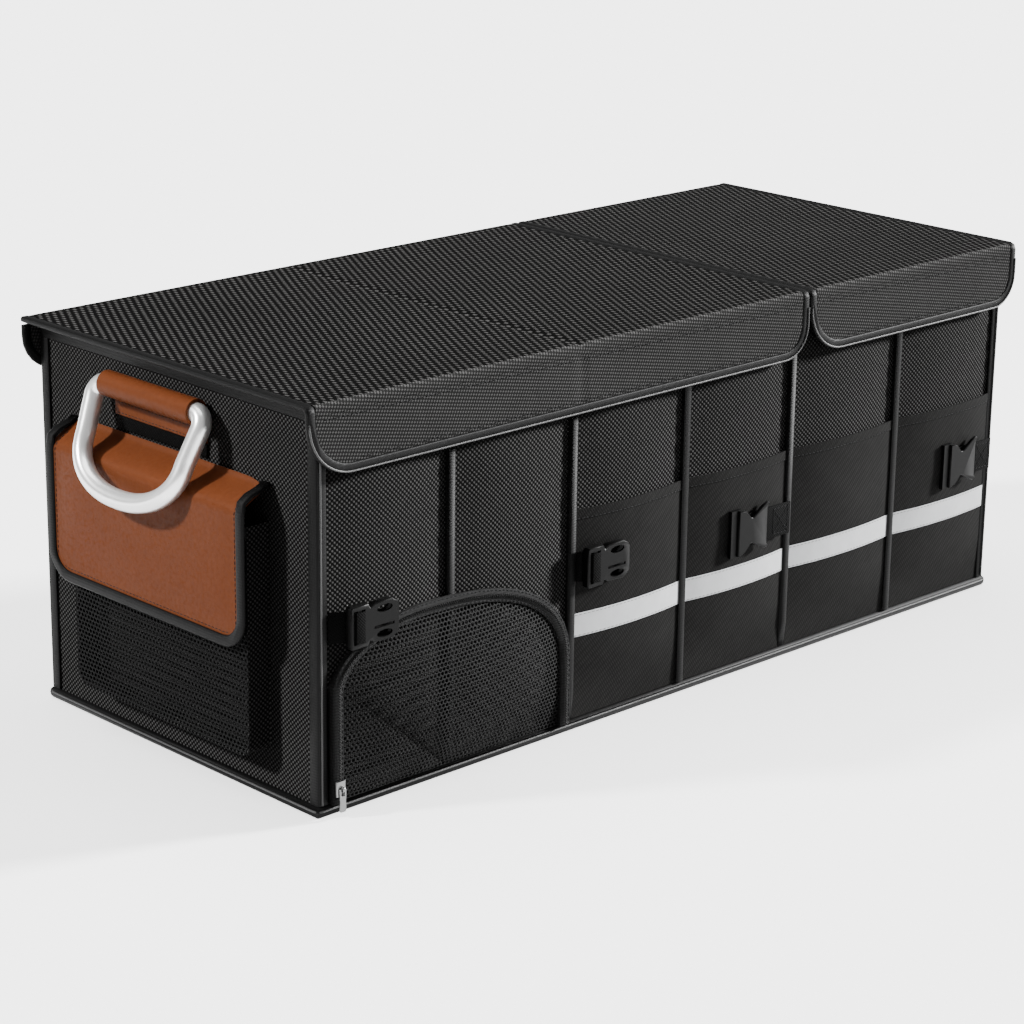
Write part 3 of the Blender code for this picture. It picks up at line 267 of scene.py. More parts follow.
def smooth_range(value, start, end):
    item = value.id_data.nodes.new("ShaderNodeMapRange")
    item.interpolation_type = "SMOOTHSTEP"
    feed(item, {"Value": value, "From Min": start, "From Max": end})
    return item.outputs["Result"]


def noise_at(tree, scale, detail=2.0):
    coords = tree.nodes.new("ShaderNodeTexCoord")
    item = tree.nodes.new("ShaderNodeTexNoise")
    feed(item, {"Scale": scale, "Detail": detail, "Vector": coords.outputs["Object"]})
    return item.outputs["Fac"]


def place_group(tree, name, **values):
    """A node that uses one of the shared groups, with its named inputs set."""
    item = tree.nodes.new("ShaderNodeGroup")
    item.node_tree = bpy.data.node_groups[name]
    feed(item, {label.replace("_", " ").capitalize(): value for label, value in values.items()})
    return item


def surface_plane():
    """U and V on whichever of the three main planes the surface faces."""
    tree, _, out = new_group("Surface plane", [], ["U", "V"])
    coords = tree.nodes.new("ShaderNodeTexCoord")
    place = tree.nodes.new("ShaderNodeSeparateXYZ")
    facing = tree.nodes.new("ShaderNodeSeparateXYZ")
    feed(place, {0: coords.outputs["Object"]})
    feed(facing, {0: coords.outputs["Normal"]})
    side = maths("GREATER_THAN", maths("ABSOLUTE", facing.outputs["X"]), 0.7)
    top = maths("GREATER_THAN", maths("ABSOLUTE", facing.outputs["Z"]), 0.7)
    x, y, z = (place.outputs[k] for k in "XYZ")
    u = plus(x, times(side, minus(y, x)))
    v = plus(z, times(top, minus(y, z)))
    feed(out, {"U": u, "V": v})


def turned_plane(tree, group_in):
    """The plane's U and V turned by Turn and counted in threads, inside a pattern group."""
    plane = place_group(tree, "Surface plane")
    u, v = plane.outputs["U"], plane.outputs["V"]
    c = maths("COSINE", group_in.outputs["Turn"])
    s = maths("SINE", group_in.outputs["Turn"])
    a = plus(times(u, c), times(v, s))
    b = minus(times(v, c), times(u, s))
    a = maths("DIVIDE", a, group_in.outputs["Pitch across"])
    b = maths("DIVIDE", b, group_in.outputs["Pitch along"])
    return a, b


def woven_threads():
    """Rows of raised threads in a staggered weave."""
    inputs = [("Pitch across", 0.002), ("Pitch along", 0.002), ("Turn", 0.0), ("Gap", -0.25)]
    tree, group_in, out = new_group(WEAVE, inputs, ["Threads", "Height"])
    a, b = turned_plane(tree, group_in)
    waves = [maths("SINE", times(value, 2 * math.pi)) for value in (a, b)]
    crossing = times(waves[0], waves[1])
    bumps = smooth_range(crossing, group_in.outputs["Gap"], 0.8)
    uneven = plus(times(noise_at(tree, 900.0, 1.0), 0.9), 0.55)
    feed(out, {"Threads": times(bumps, uneven), "Height": bumps})


def twill_ribs():
    """Slanted ribs broken into short floats."""
    inputs = [("Pitch across", 0.002), ("Pitch along", 0.004), ("Turn", 0.6)]
    tree, group_in, out = new_group(TWILL, inputs, ["Threads", "Height"])
    a, b = turned_plane(tree, group_in)
    rib = maths("ABSOLUTE", maths("SINE", times(a, math.pi)))
    float_wave = maths("SINE", times(plus(b, maths("FLOOR", a)), 2 * math.pi))
    ends = smooth_range(float_wave, -0.9, 0.3)
    height = times(smooth_range(rib, 0.15, 0.95), plus(times(ends, 0.65), 0.35))
    uneven = plus(times(noise_at(tree, 700.0, 1.0), 0.9), 0.55)
    feed(out, {"Threads": times(height, uneven), "Height": height})


def netting():
    """A mesh of crossed threads with open holes between them."""
    inputs = [("Pitch across", 0.0036), ("Pitch along", 0.0030), ("Turn", 0.0), ("Thread", 0.3)]
    tree, group_in, out = new_group("Netting", inputs, ["Mask", "Height"])
    a, b = turned_plane(tree, group_in)
    rows = maths("FLOOR", b)
    shifted = plus(a, times(maths("FLOORED_MODULO", rows, 2.0), 0.5))
    across = minus(maths("FRACT", shifted), 0.5)
    along = minus(maths("FRACT", b), 0.5)
    reach = maths("SQRT", plus(times(across, across), times(along, along)))
    edge = minus(0.62, group_in.outputs["Thread"])
    mask = maths("GREATER_THAN", reach, edge)
    feed(out, {"Mask": mask, "Height": smooth_range(reach, 0.25, 0.6)})


def tone_drift():
    """Slow changes of tone over the piece, with a little dust in them; turned up on the slip pockets, it is
    partly painted sheen.
    """
    tree, group_in, out = new_group("Tone drift", [("Amount", 0.2)], ["Tone"])
    broad = minus(noise_at(tree, 9.0, 3.0), 0.5)
    fine = minus(noise_at(tree, 90.0, 3.0), 0.5)
    both = plus(times(broad, 1.4), times(fine, 0.9))
    feed(out, {"Tone": plus(1.0, times(both, group_in.outputs["Amount"]))})


def leather_grain():
    """Pebbled grain with fine pores."""
    tree, group_in, out = new_group("Leather grain", [("Scale", 420.0)], ["Height", "Tone"])
    coords = tree.nodes.new("ShaderNodeTexCoord")
    cells = tree.nodes.new("ShaderNodeTexVoronoi")
    cells.feature = "SMOOTH_F1"
    feed(cells, {"Vector": coords.outputs["Object"], "Scale": group_in.outputs["Scale"]})
    pebbles = minus(1.0, cells.outputs["Distance"])
    pores = noise_at(tree, 1500.0, 2.0)
    height = plus(times(pebbles, 0.7), times(pores, 0.3))
    mottled = plus(times(noise_at(tree, 260.0, 3.0), 0.3), 0.85)
    feed(out, {"Height": height, "Tone": mottled})


def make_groups():
    surface_plane()
    woven_threads()
    twill_ribs()
    netting()
    tone_drift()
    leather_grain()


# Materials


def new_material(name, roughness, metallic=0.0, specular=0.5):
    """A plain material; gives back its node tree and its shader node."""
    mat = bpy.data.materials.new(name + "_finish")
    mat.use_nodes = True
    tree = mat.node_tree
    shader = tree.nodes["Principled BSDF"]
    feed(shader, {"Roughness": roughness, "Metallic": metallic, "Specular IOR Level": specular})
    return tree, shader


def mixed_colour(factor, first, second):
    item = factor.id_data.nodes.new("ShaderNodeMix")
    item.data_type = "RGBA"
    feed(item, {"Factor": factor, "A": (*first, 1.0), "B": (*second, 1.0)})
    return item.outputs["Result"]


def toned(colour, tone):
    """Multiplies a colour by a value that varies over the surface."""
    item = tone.id_data.nodes.new("ShaderNodeVectorMath")
    item.operation = "SCALE"
    feed(item, {0: colour, "Scale": tone})
    return item.outputs[0]


def drifting_colour(shader, colour, amount):
    """Base colour with slow changes of tone over the piece."""
    tone = place_group(shader.id_data, "Tone drift", amount=amount)
    feed(shader, {"Base Color": toned(colour, tone.outputs["Tone"])})


def bump(shader, height, distance, strength=0.8):
    item = height.id_data.nodes.new("ShaderNodeBump")
    feed(item, {"Distance": distance, "Strength": strength, "Height": height})
    feed(shader, {"Normal": item.outputs["Normal"]})


def cloth_material(
    name, pattern, colour, ground_share, pitch, turn, relief,
    roughness=0.9, specular=0.02, drift=0.25, gap=-0.25,
):
    """Woven cloth: bright threads over a darker ground; turn is in degrees."""
    tree, shader = new_material(name, roughness, specular=specular)
    weave = place_group(tree, pattern, pitch_across=pitch[0], pitch_along=pitch[1], turn=math.radians(turn))
    if "Gap" in weave.inputs:
        feed(weave, {"Gap": gap})
    ground = tuple(c * ground_share for c in colour)
    threads = mixed_colour(weave.outputs["Threads"], ground, tuple(colour))
    drifting_colour(shader, threads, drift)
    bump(shader, weave.outputs["Height"], relief)


def net_material(name, colour, pitch, thread):
    tree, shader = new_material(name, 0.7, specular=0.03)
    net = place_group(tree, "Netting", pitch_across=pitch[0], pitch_along=pitch[1], turn=0.0, thread=thread)
    drifting_colour(shader, tuple(colour), 0.2)
    feed(shader, {"Alpha": net.outputs["Mask"]})
    bump(shader, net.outputs["Height"], 0.0004)


def leather_material(name, colour):
    tree, shader = new_material(name, 0.5, specular=0.05)
    grain = place_group(tree, "Leather grain", scale=420.0)
    tone = place_group(tree, "Tone drift", amount=0.12)
    shade = times(grain.outputs["Tone"], tone.outputs["Tone"])
    roughness = smooth_range(grain.outputs["Height"], 1.4, -0.4)
    feed(shader, {"Base Color": toned(tuple(colour), shade), "Roughness": roughness})
    bump(shader, grain.outputs["Height"], 0.00011, 0.5)


def brushed_material(name, colour, roughness, metallic):
    tree, shader = new_material(name, roughness, metallic=metallic)
    cloudy = noise_at(tree, 240.0, 4.0)
    drifting_colour(shader, tuple(colour), 0.06)
    feed(shader, {"Roughness": plus(times(cloudy, 0.06), roughness - 0.03)})
    bump(shader, noise_at(tree, 160.0, 2.0), 0.00002, 0.3)


def moulded_material(name, colour, roughness):
    tree, shader = new_material(name, roughness, specular=0.05)
    drifting_colour(shader, tuple(colour), 0.2)
    speckle = noise_at(tree, 1800.0, 2.0)
    feed(shader, {"Roughness": plus(times(speckle, 0.16), roughness - 0.08)})
    bump(shader, speckle, 0.00006, 0.5)


def make_materials(colours):
    make_groups()
    cloth_material("body", WEAVE, colours.body, 0.05, (0.0042, 0.0040), 0, 0.00035)
    cloth_material("lid", WEAVE, colours.lid, 0.03, (0.0066, 0.0120), 0, 0.0005, gap=0.05)
    cloth_material("flap", WEAVE, colours.flap, 0.20, (0.0042, 0.0034), 28, 0.0003)
    # The slip pockets' strong tone drift is partly painted sheen for the satin's streaky highlights, and
    # partly random tone.
    cloth_material("pocket", TWILL, colours.pocket, 0.55, (0.0020, 0.0050), 35, 0.00008, 0.62, drift=0.5)
    cloth_material("tape", TWILL, colours.tape, 0.55, (0.0011, 0.0022), 0, 0.00010, 0.5, 0.07)
    cloth_material("zip_tape", TWILL, (0.038, 0.038, 0.038), 0.5, (0.0012, 0.0024), 0, 0.00012, 0.6)
    # The welt cord's grey, lighter than the tape, is partly painted highlight along the edges; its gloss
    # gives real highlights too.
    cloth_material("cord", TWILL, (0.050, 0.050, 0.050), 0.6, (0.0008, 0.0016), 30, 0.00008, 0.45, 0.3)
    cloth_material("webbing", TWILL, colours.tape, 0.5, (0.0016, 0.0030), 45, 0.00025, 0.7)
    cloth_material("board", WEAVE, colours.body, 0.55, (0.0016, 0.0016), 0, 0.00012)
    cloth_material("reflective", WEAVE, colours.reflective, 0.93, (0.0016, 0.0016), 45, 0.00005, 0.42)
    cloth_material("thread", TWILL, (0.035, 0.035, 0.036), 0.6, (0.0005, 0.0010), 30, 0.00006, 0.6)
    cloth_material("pale_thread", TWILL, (0.42, 0.42, 0.42), 0.6, (0.0005, 0.0010), 30, 0.00006, 0.6)
    net_material("net", colours.net, (0.0038, 0.0032), 0.20)
    # The side pocket's netting is the front netting at half brightness: painted shade on the end wall under
    # the flap.
    net_material("shaded_side_net", tuple(0.5 * c for c in colours.net), (0.0042, 0.0036), 0.24)
    leather_material("leather", colours.leather)
    brushed_material("satin_metal", colours.metal, 0.30, 0.7)
    brushed_material("zip_metal", (0.16, 0.16, 0.16), 0.32, 0.9)
    moulded_material("plastic", colours.plastic, 0.34)


# Mesh helpers


def sizes():
    return bpy.context.scene.organizer_sizes


def deselect():
    bpy.ops.object.select_all(action="DESELECT")


def select_only(obj):
    deselect()
    bpy.context.view_layer.objects.active = obj
    obj.select_set(True)


def finish_piece(obj, material, node=None, body="organizer"):
    """Gives a piece its material and its body, and hides the node it stands for."""
    obj.data.materials.clear()
    obj.data.materials.append(bpy.data.materials[material + "_finish"])
    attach(obj, body)
    if node:
        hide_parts(node)
    return obj


def new_object(name, data):
    obj = bpy.data.objects.new(name, data)
    bpy.context.scene.collection.objects.link(obj)
    return obj


def object_from(bm, name):
    mesh = bpy.data.meshes.new(name)
    bm.to_mesh(mesh)
    bm.free()
    return new_object(name, mesh)


def smooth_by_angle(obj, degrees):
    select_only(obj)
    bpy.ops.object.shade_smooth_by_angle(angle=math.radians(degrees))
    deselect()


def apply_modifiers(obj):
    select_only(obj)
    for mod in list(obj.modifiers):
        bpy.ops.object.modifier_apply(modifier=mod.name)
    deselect()


def dressed_copy(node, material, bevel=0.0, angle=40):
    """A merged, softened copy of a solid, finished with its own material."""
    source = frame["nodes"][node]
    body = source["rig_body"]
    bm = bmesh.new()
    bm.from_mesh(source.data)
    bmesh.ops.remove_doubles(bm, verts=bm.verts, dist=0.00001)
    bmesh.ops.dissolve_limit(bm, angle_limit=math.radians(1.0), verts=bm.verts, edges=bm.edges)
    obj = object_from(bm, node + "_piece")
    if bevel:
        mod = obj.modifiers.new("edges", "BEVEL")
        mod.width = bevel
        mod.segments = 2
        mod.limit_method = "ANGLE"
        mod.angle_limit = math.radians(35)
        apply_modifiers(obj)
    smooth_by_angle(obj, angle)
    return finish_piece(obj, material, node, body)


def dressed_tape(node, angle=60, bevel=0.0):
    """A binding or hem, finished as edge tape."""
    return dressed_copy(node, "tape", bevel, angle)


def sheet_piece(name, columns, rows, point, thickness, flip=False):
    """A cloth sheet from a grid; point(a, b) gives the outer surface, and the back lies behind it."""
    bm = bmesh.new()
    grid = [[bm.verts.new(point(a, b)) for a in columns] for b in rows]
    for lower, upper in zip(grid, grid[1:]):
        for k in range(len(columns) - 1):
            face = (lower[k], lower[k + 1], upper[k + 1], upper[k])
            bm.faces.new(tuple(reversed(face)) if flip else face)
    bmesh.ops.remove_doubles(bm, verts=bm.verts, dist=0.000001)
    obj = object_from(bm, name)
    mod = obj.modifiers.new("thickness", "SOLIDIFY")
    mod.thickness = thickness
    mod.offset = -1.0
    mod.use_even_offset = True
    apply_modifiers(obj)
    smooth_by_angle(obj, 50)
    return obj


def rings_piece(name, rings, closed):
    """Joins rings of points into one skin; a closed chain needs no caps."""
    bm = bmesh.new()
    loops = [[bm.verts.new(p) for p in ring] for ring in rings]
    count = len(loops)
    size = len(loops[0])
    for i in range(count if closed else count - 1):
        a, b = loops[i], loops[(i + 1) % count]
        for k in range(size):
            n = (k + 1) % size
            bm.faces.new((a[k], a[n], b[n], b[k]))
    if not closed:
        bm.faces.new(loops[0])
        bm.faces.new(loops[-1])
    bmesh.ops.recalc_face_normals(bm, faces=bm.faces)
    return object_from(bm, name)


def spread(start, end, count):
    """Evenly spaced values with both ends."""
    return [start + (end - start) * k / count for k in range(count + 1)]


def corner_rise(distance, radius):
    """How far a rounded corner has risen at a distance from its side."""
    if distance >= radius:
        return 0.0
    return radius - math.sqrt(max(0.0, radius * radius - (radius - distance) ** 2))


def rounded_columns(start, end, first, last, steps, first_steps, last_steps):
    """Columns of a sheet, closer together at its rounded corners; first and last are the radii."""
    xs = [start + first * (1 - math.cos(math.pi / 2 * k / first_steps)) for k in range(first_steps)]
    xs += spread(start + first, end - last, steps)
    shares = [1 - k / last_steps for k in range(1, last_steps + 1)]
    return xs + [end - last * (1 - math.cos(math.pi / 2 * share)) for share in shares]


def ease(start, end, value):
    """Runs smoothly from 0 at start to 1 at end."""
    t = min(1.0, max(0.0, (value - start) / (end - start)))
    return t * t * (3.0 - 2.0 * t)


def wander(x, y, z, scale):
    """Smooth seeded noise between -1 and 1."""
    return noise.noise(Vector((x * scale, y * scale, z * scale)))


# Stitches and teeth


def resample(path, pitch):
    """Points at an even pitch along a path, each with its direction."""
    found = []
    travelled = pitch / 2
    passed = 0.0
    for a, b in zip(path, path[1:]):
        span = (b - a).length
        while span > 0 and travelled <= passed + span:
            found.append((a.lerp(b, (travelled - passed) / span), (b - a).normalized()))
            travelled += pitch
        passed += span
    return found


def add_stitch(bm, at, along, out, length, radius):
    """A short six-sided thread, thinner at both ends."""
    side = along.cross(out).normalized()
    rings = []
    for share, swell in ((-0.5, 0.3), (-0.25, 1.0), (0.25, 1.0), (0.5, 0.3)):
        ring = []
        for k in range(6):
            a = math.pi * k / 3
            round_it = (side * math.cos(a) + out * math.sin(a)) * (radius * swell)
            ring.append(bm.verts.new(at + along * (length * share) + round_it))
        rings.append(ring)
    for first, second in zip(rings, rings[1:]):
        for k in range(6):
            n = (k + 1) % 6
            bm.faces.new((first[k], first[n], second[n], second[k]))
    bm.faces.new(list(reversed(rings[0])))
    bm.faces.new(rings[-1])


def stitch_rows(name, rows, material="thread", body="organizer"):
    """Rows of stitches; each row is a path and the way its surface faces."""
    bm = bmesh.new()
    for path, out in rows:
        for at, along in resample(path, sizes().stitch_pitch):
            facing = (out - along * out.dot(along)).normalized()
            add_stitch(bm, at, along, facing, sizes().stitch_length, sizes().stitch_radius)
    bmesh.ops.recalc_face_normals(bm, faces=bm.faces)
    obj = object_from(bm, name)
    smooth_by_angle(obj, 60)
    return finish_piece(obj, material, None, body)


# Walls


def panel_arch(x):
    """0 at the seams beside a place and 1 halfway between them."""
    for a, b in zip(SEAMS, SEAMS[1:]):
        if a <= x <= b:
            u = (x - a) / (b - a)
            return 4.0 * u * (1.0 - u)
    return 0.0


def bow(x, z):
    """How far the front's panels stand out at a place."""
    fade = ease(PIPING_TOP, PIPING_TOP + 0.05, z) * (1.0 - ease(WALL_TOP - 0.050, WALL_TOP - 0.014, z))
    return sizes().panel_bow * panel_arch(x) * fade


def panel_columns(first, last, steps):
    xs = [SEAMS[first]]
    for a, b in zip(SEAMS[first:last], SEAMS[first + 1 : last + 1]):
        xs += spread(a, b, steps)[1:]
    return xs


def gather(along, distance):
    """Small puckers that die away from a sewn edge."""
    near = 1.0 - ease(0.004, 0.030, distance)
    phase = along * 2 * math.pi / PUCKER_PITCH + 2.5 * wander(along, 0.3, 0.1, 20.0)
    return sizes().pucker * near * (0.5 + 0.5 * math.sin(phase))


def front_point(x, z):
    nearest = min(abs(x - s) for s in SEAMS)
    dent = gather(z, nearest) + 0.0005 * (1.0 + wander(x, 0.0, z, 14.0)) * ease(0.0, 0.02, nearest)
    return Vector((x, FRONT - bow(x, z) + dent * ease(BINDING_LOW, BINDING_LOW + 0.02, z), z))


def build_walls():
    zs = spread(0.0004, WALL_TOP, 72)
    front = sheet_piece("front_cloth", panel_columns(0, 6, 24), zs, front_point, WALL - 0.0004)
    finish_piece(front, "body", "front_wall")
    for name, x, outward in (("left_end", LEFT, -1), ("right_end", RIGHT, 1)):
        ys = spread(FRONT + WALL + CLEAR, BACK - WALL - CLEAR, 60)

        def end_point(y, z, x=x, outward=outward):
            edge = min(y - FRONT, BACK - y)
            dent = gather(z, edge) + 0.0006 * (1.0 + wander(0.7, y, z, 12.0)) * ease(0.0, 0.03, edge)
            return Vector((x - outward * dent, y, z))

        zs = spread(0.0, WALL_TOP, 56)
        end = sheet_piece(name + "_cloth", ys, zs, end_point, WALL - 0.0016, outward < 0)
        finish_piece(end, "body", name + "_wall")
    dressed_copy("back_wall", "body", angle=30)
    boards = ["base_panel", "divider_left", "divider_right"]
    for node in boards + ["floor_board_" + word for word in ("left", "middle", "right")]:
        dressed_copy(node, "board", 0.0005)


def welt(name, path, body="organizer", closed=False):
    """A fine sewn-in cord along a path of points; its gloss catches the light along an edge, and its grey,
    lighter than the tape, is partly painted highlight.
    """
    data = bpy.data.curves.new(name, "CURVE")
    data.dimensions = "3D"
    data.bevel_depth = WELT_RADIUS
    data.bevel_resolution = 3
    data.use_fill_caps = True
    spline = data.splines.new("POLY")
    spline.points.add(len(path) - 1)
    for item, p in zip(spline.points, path):
        item.co = (*p, 1.0)
    spline.use_cyclic_u = closed
    select_only(new_object(name, data))
    bpy.ops.object.convert(target="MESH")
    obj = bpy.context.view_layer.objects.active
    smooth_by_angle(obj, 60)
    finish_piece(obj, "cord", None, body)


def build_body_welts():
    y = low("corner_binding_front_left").y - WELT_RADIUS / 2
    zs = spread(BINDING_LOW + 0.001, high("corner_binding_front_left").z - 0.001, 40)
    for word, x in (("left", LEFT + 0.0014), ("right", RIGHT - 0.0014)):
        welt("corner_welt_" + word, [Vector((x, y, z)) for z in zs])
    corner_low, corner_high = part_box("bottom_piping")
    stand, r = 0.0003, 0.006
    x0, x1 = corner_low.x - stand, corner_high.x + stand
    y0, y1 = corner_low.y - stand, corner_high.y + stand
    ring = []
    corners = ((x1 - r, y1 - r), (x0 + r, y1 - r), (x0 + r, y0 + r), (x1 - r, y0 + r))
    for number, (cx, cy) in enumerate(corners):
        for degrees in spread(90 * number, 90 * number + 90, 8):
            a = math.radians(degrees)
            ring.append(Vector((cx + r * math.cos(a), cy + r * math.sin(a), PIPING_TOP * 0.62)))
    welt("bottom_welt", ring, closed=True)


def build_flap_welt(word):
    """Cord along the hanging flap's free edge, inside its binding."""
    box_low, box_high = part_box("lid_%s_binding" % word)
    y = low("lid_%s_flap" % word).y - WELT_STAND
    x0, x1 = box_low.x + WELT_INSET, box_high.x - WELT_INSET
    z0, top = box_low.z + WELT_INSET, box_high.z - WELT_END
    r0, r1 = WELT_CORNERS
    path = [(x0, z) for z in spread(top, z0 + r0, 4)]
    path += [(x0 + r0 - r0 * math.cos(a), z0 + r0 - r0 * math.sin(a)) for a in spread(0, math.pi / 2, 16)[1:]]
    path += [(x, z0) for x in spread(x0 + r0, x1 - r1, 40)[1:]]
    path += [(x1 - r1 + r1 * math.sin(a), z0 + r1 - r1 * math.cos(a)) for a in spread(0, math.pi / 2, 12)[1:]]
    path += [(x1, z) for z in spread(z0 + r1, top, 4)[1:]]
    welt("lid_%s_welt" % word, [Vector((x, y, z)) for x, z in path], "lid_" + word)


def build_trim():
    for node in ("bottom_piping", "rim_binding"):
        dressed_tape(node, 55)
    for corner in ("front_left", "front_right", "back_left", "back_right"):
        dressed_tape("corner_binding_" + corner, bevel=0.0003)
    for number in range(1, 6):
        dressed_tape("seam_binding_%d" % number)
    rows = []
    for number in range(1, 6):
        box_low, box_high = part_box("seam_binding_%d" % number)
        face = box_low.y * 0.15 + (FRONT - 0.0040) * 0.85
        for x in (box_low.x + STITCH_INSET, box_high.x - STITCH_INSET):
            rows.append(([Vector((x, face, z)) for z in (SHEET_TOP + 0.004, box_high.z - 0.002)], TO_FRONT))
    stitch_rows("seam_stitches", rows)
    build_body_welts()


# Lids


def crease(word, x, depth):
    """Depth of the fold that crosses the left lid between its two compartments."""
    return depth * math.exp(-((x - SEAMS[2]) / CREASE_HALF_WIDTH) ** 2) if word == "left" else 0.0


def build_lid_top(word):
    """The stiff top, a little sunk between its edges, folded down along the front."""
    box_low, box_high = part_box("lid_%s_panel" % word)
    top, back, front = box_high.z, box_high.y, box_low.y
    lip, thick, skin, r = box_low.z, 0.006, 0.003, 0.004
    rings = []
    for x in spread(box_low.x, box_high.x, 120):
        edge = min(x - box_low.x, box_high.x - x)

        def sag(y):
            inside = ease(0.0, 0.05, edge) * ease(0.0, 0.05, min(y - front, back - y))
            wave = sizes().lid_wave * (0.5 + 0.5 * wander(x, y, 2.0, 7.0)) * inside
            return wave + crease(word, x, 0.0016)

        ring = [(y, top - sag(y)) for y in spread(back, front + r, 40)]
        edge_top = top - r - sag(front + r)
        ring += [(front + r - r * math.sin(a), edge_top + r * math.cos(a)) for a in (0.3, 0.6, 0.9, 1.2)]
        ring += [(front, top - r - 0.0005), (front, lip), (front + skin, lip)]
        ring += [(front + skin, top - thick), (back, top - thick)]
        rings.append([Vector((x, y, z)) for y, z in ring])
    obj = rings_piece("lid_%s_top" % word, rings, False)
    smooth_by_angle(obj, 50)
    finish_piece(obj, "lid", "lid_%s_panel" % word, "lid_" + word)
    obj.data.materials.append(bpy.data.materials["flap_finish"])
    for face in obj.data.polygons:
        if face.center.y < front + r * 0.8:
            face.material_index = 1


def build_lid_front(word):
    """The hanging flap, waving a little towards its free edge."""
    box_low, box_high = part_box("lid_%s_flap" % word)

    def lower_edge(x):
        distances = (x - box_low.x, box_high.x - x)
        return box_low.z + max(corner_rise(d, r) for d, r in zip(distances, FLAP_CORNERS))

    def place(x, share):
        z = lower_edge(x) + (box_high.z - lower_edge(x)) * share
        edge = min(x - box_low.x, box_high.x - x)
        inside = ease(0.0, 0.04, edge) * math.sin(math.pi * min(1.0, max(0.0, share)))
        wave = sizes().flap_wave * wander(x, 0.4, z, 11.0) * inside
        return Vector((x, box_low.y + wave + crease(word, x, 0.0014), z))

    steps = max(40, int((box_high.x - box_low.x) / 0.005))
    xs = rounded_columns(box_low.x, box_high.x, *FLAP_CORNERS, steps, 14, 12)
    obj = sheet_piece("lid_%s_front" % word, xs, spread(0.0, 1.0, 14), place, box_high.y - box_low.y)
    finish_piece(obj, "flap", "lid_%s_flap" % word, "lid_" + word)
    inner = [place(x, 0.0) + Vector((0, -0.0003, 0.0026)) for x in xs[16:-14]]
    upper = [place(x, 1.0) + Vector((0, -0.0003, -0.0032)) for x in xs[6:-6]]
    stitch_rows("lid_%s_stitches" % word, [(inner, TO_FRONT), (upper, TO_FRONT)], body="lid_" + word)


def build_hinge_tape(word):
    """The strip that closes the line between the back flap and the lid's hinge."""
    box_low, box_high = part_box("lid_%s_panel" % word)
    y = high("back_flap_%s_binding" % word).y + 0.0006
    z0, z1 = box_low.z - 0.006, LID_TOP - 0.0002
    lowered = z1 - 0.0016
    split = (high("lid_left_panel").x + low("lid_right_panel").x) / 2
    xs = spread(box_low.x + 0.004, box_high.x - 0.004, 80)
    full = (xs[0] - 0.0001, xs[-1] + 0.0001)
    xs = xs + [xs[-1] + 0.0003, split] if word == "left" else [split, xs[0] - 0.0003] + xs

    def place(x, z):
        """Between the lids the strip is lower, to stay clear of their bound corners."""
        return Vector((x, y, z if full[0] < x < full[1] else min(z, lowered)))

    obj = sheet_piece("hinge_tape_" + word, xs, spread(z0, z1, 4), place, HINGE_TAPE_SKIN, True)
    finish_piece(obj, "tape", None, "organizer")
    rows = [([Vector((x, y + THREAD_LIFT, z0 + 0.0016)) for x in xs], -TO_FRONT)]
    stitch_rows("hinge_tape_%s_stitches" % word, rows)


def build_lids():
    for word in ("left", "right"):
        build_lid_top(word)
        build_lid_front(word)
        build_flap_welt(word)
        build_hinge_tape(word)
        dressed_tape("lid_%s_binding" % word)
        dressed_copy("back_flap_" + word, "flap", angle=50)
        dressed_tape("back_flap_%s_binding" % word)


# Handles


def handle_centre():
    """Centre line of a handle as (across, down) points, closed through its top bar."""
    half = HANDLE_HALF_WIDTH
    r = ELBOW_RADIUS
    elbow = [(-half + r - r * math.sin(a), r - r * math.cos(a)) for a in spread(0.0, math.pi / 2, 8)]
    knee = HANDLE_LENGTH * HANDLE_KNEE
    waist = half * HANDLE_WAIST
    side = [(-half + (half - waist) * t, r + (knee - r) * t) for t in spread(0.0, 1.0, 6)[1:-1]]
    bowl = []
    for a in spread(0.0, math.pi, 44):
        across = -waist * math.copysign(abs(math.cos(a)) ** 0.9, math.cos(a))
        bowl.append((across, knee + (HANDLE_LENGTH - knee) * max(0.0, math.sin(a)) ** 0.9))
    return elbow + side + bowl + [(-a, d) for a, d in reversed(elbow + side)]


def build_handle(word, side, lean):
    centre = [Vector(p) for p in handle_centre()]
    hinge = Matrix.Translation((side * HANDLE_AXIS_X, -side * HANDLE_SHIFT, HANDLE_AXIS_Z))
    turn = hinge @ Matrix.Rotation(-side * lean, 4, "Y")
    count = len(centre)
    rings = []
    for i, here in enumerate(centre):
        arriving = (here - centre[i - 1]).normalized()
        leaving = (centre[(i + 1) % count] - here).normalized()
        along = (arriving + leaving).normalized()
        across = Vector((along.y, -along.x))
        ring = []
        for k in range(TUBE_SIDES):
            a = 2 * math.pi * k / TUBE_SIDES
            p = here + across * (TUBE_RADIUS * math.cos(a))
            ring.append(turn @ Vector((TUBE_RADIUS * math.sin(a), p.x, -p.y)))
        rings.append(ring)
    obj = rings_piece("handle_%s_tube" % word, rings, True)
    smooth_by_angle(obj, 60)
    finish_piece(obj, "satin_metal", "handle_" + word, "handle_" + word)


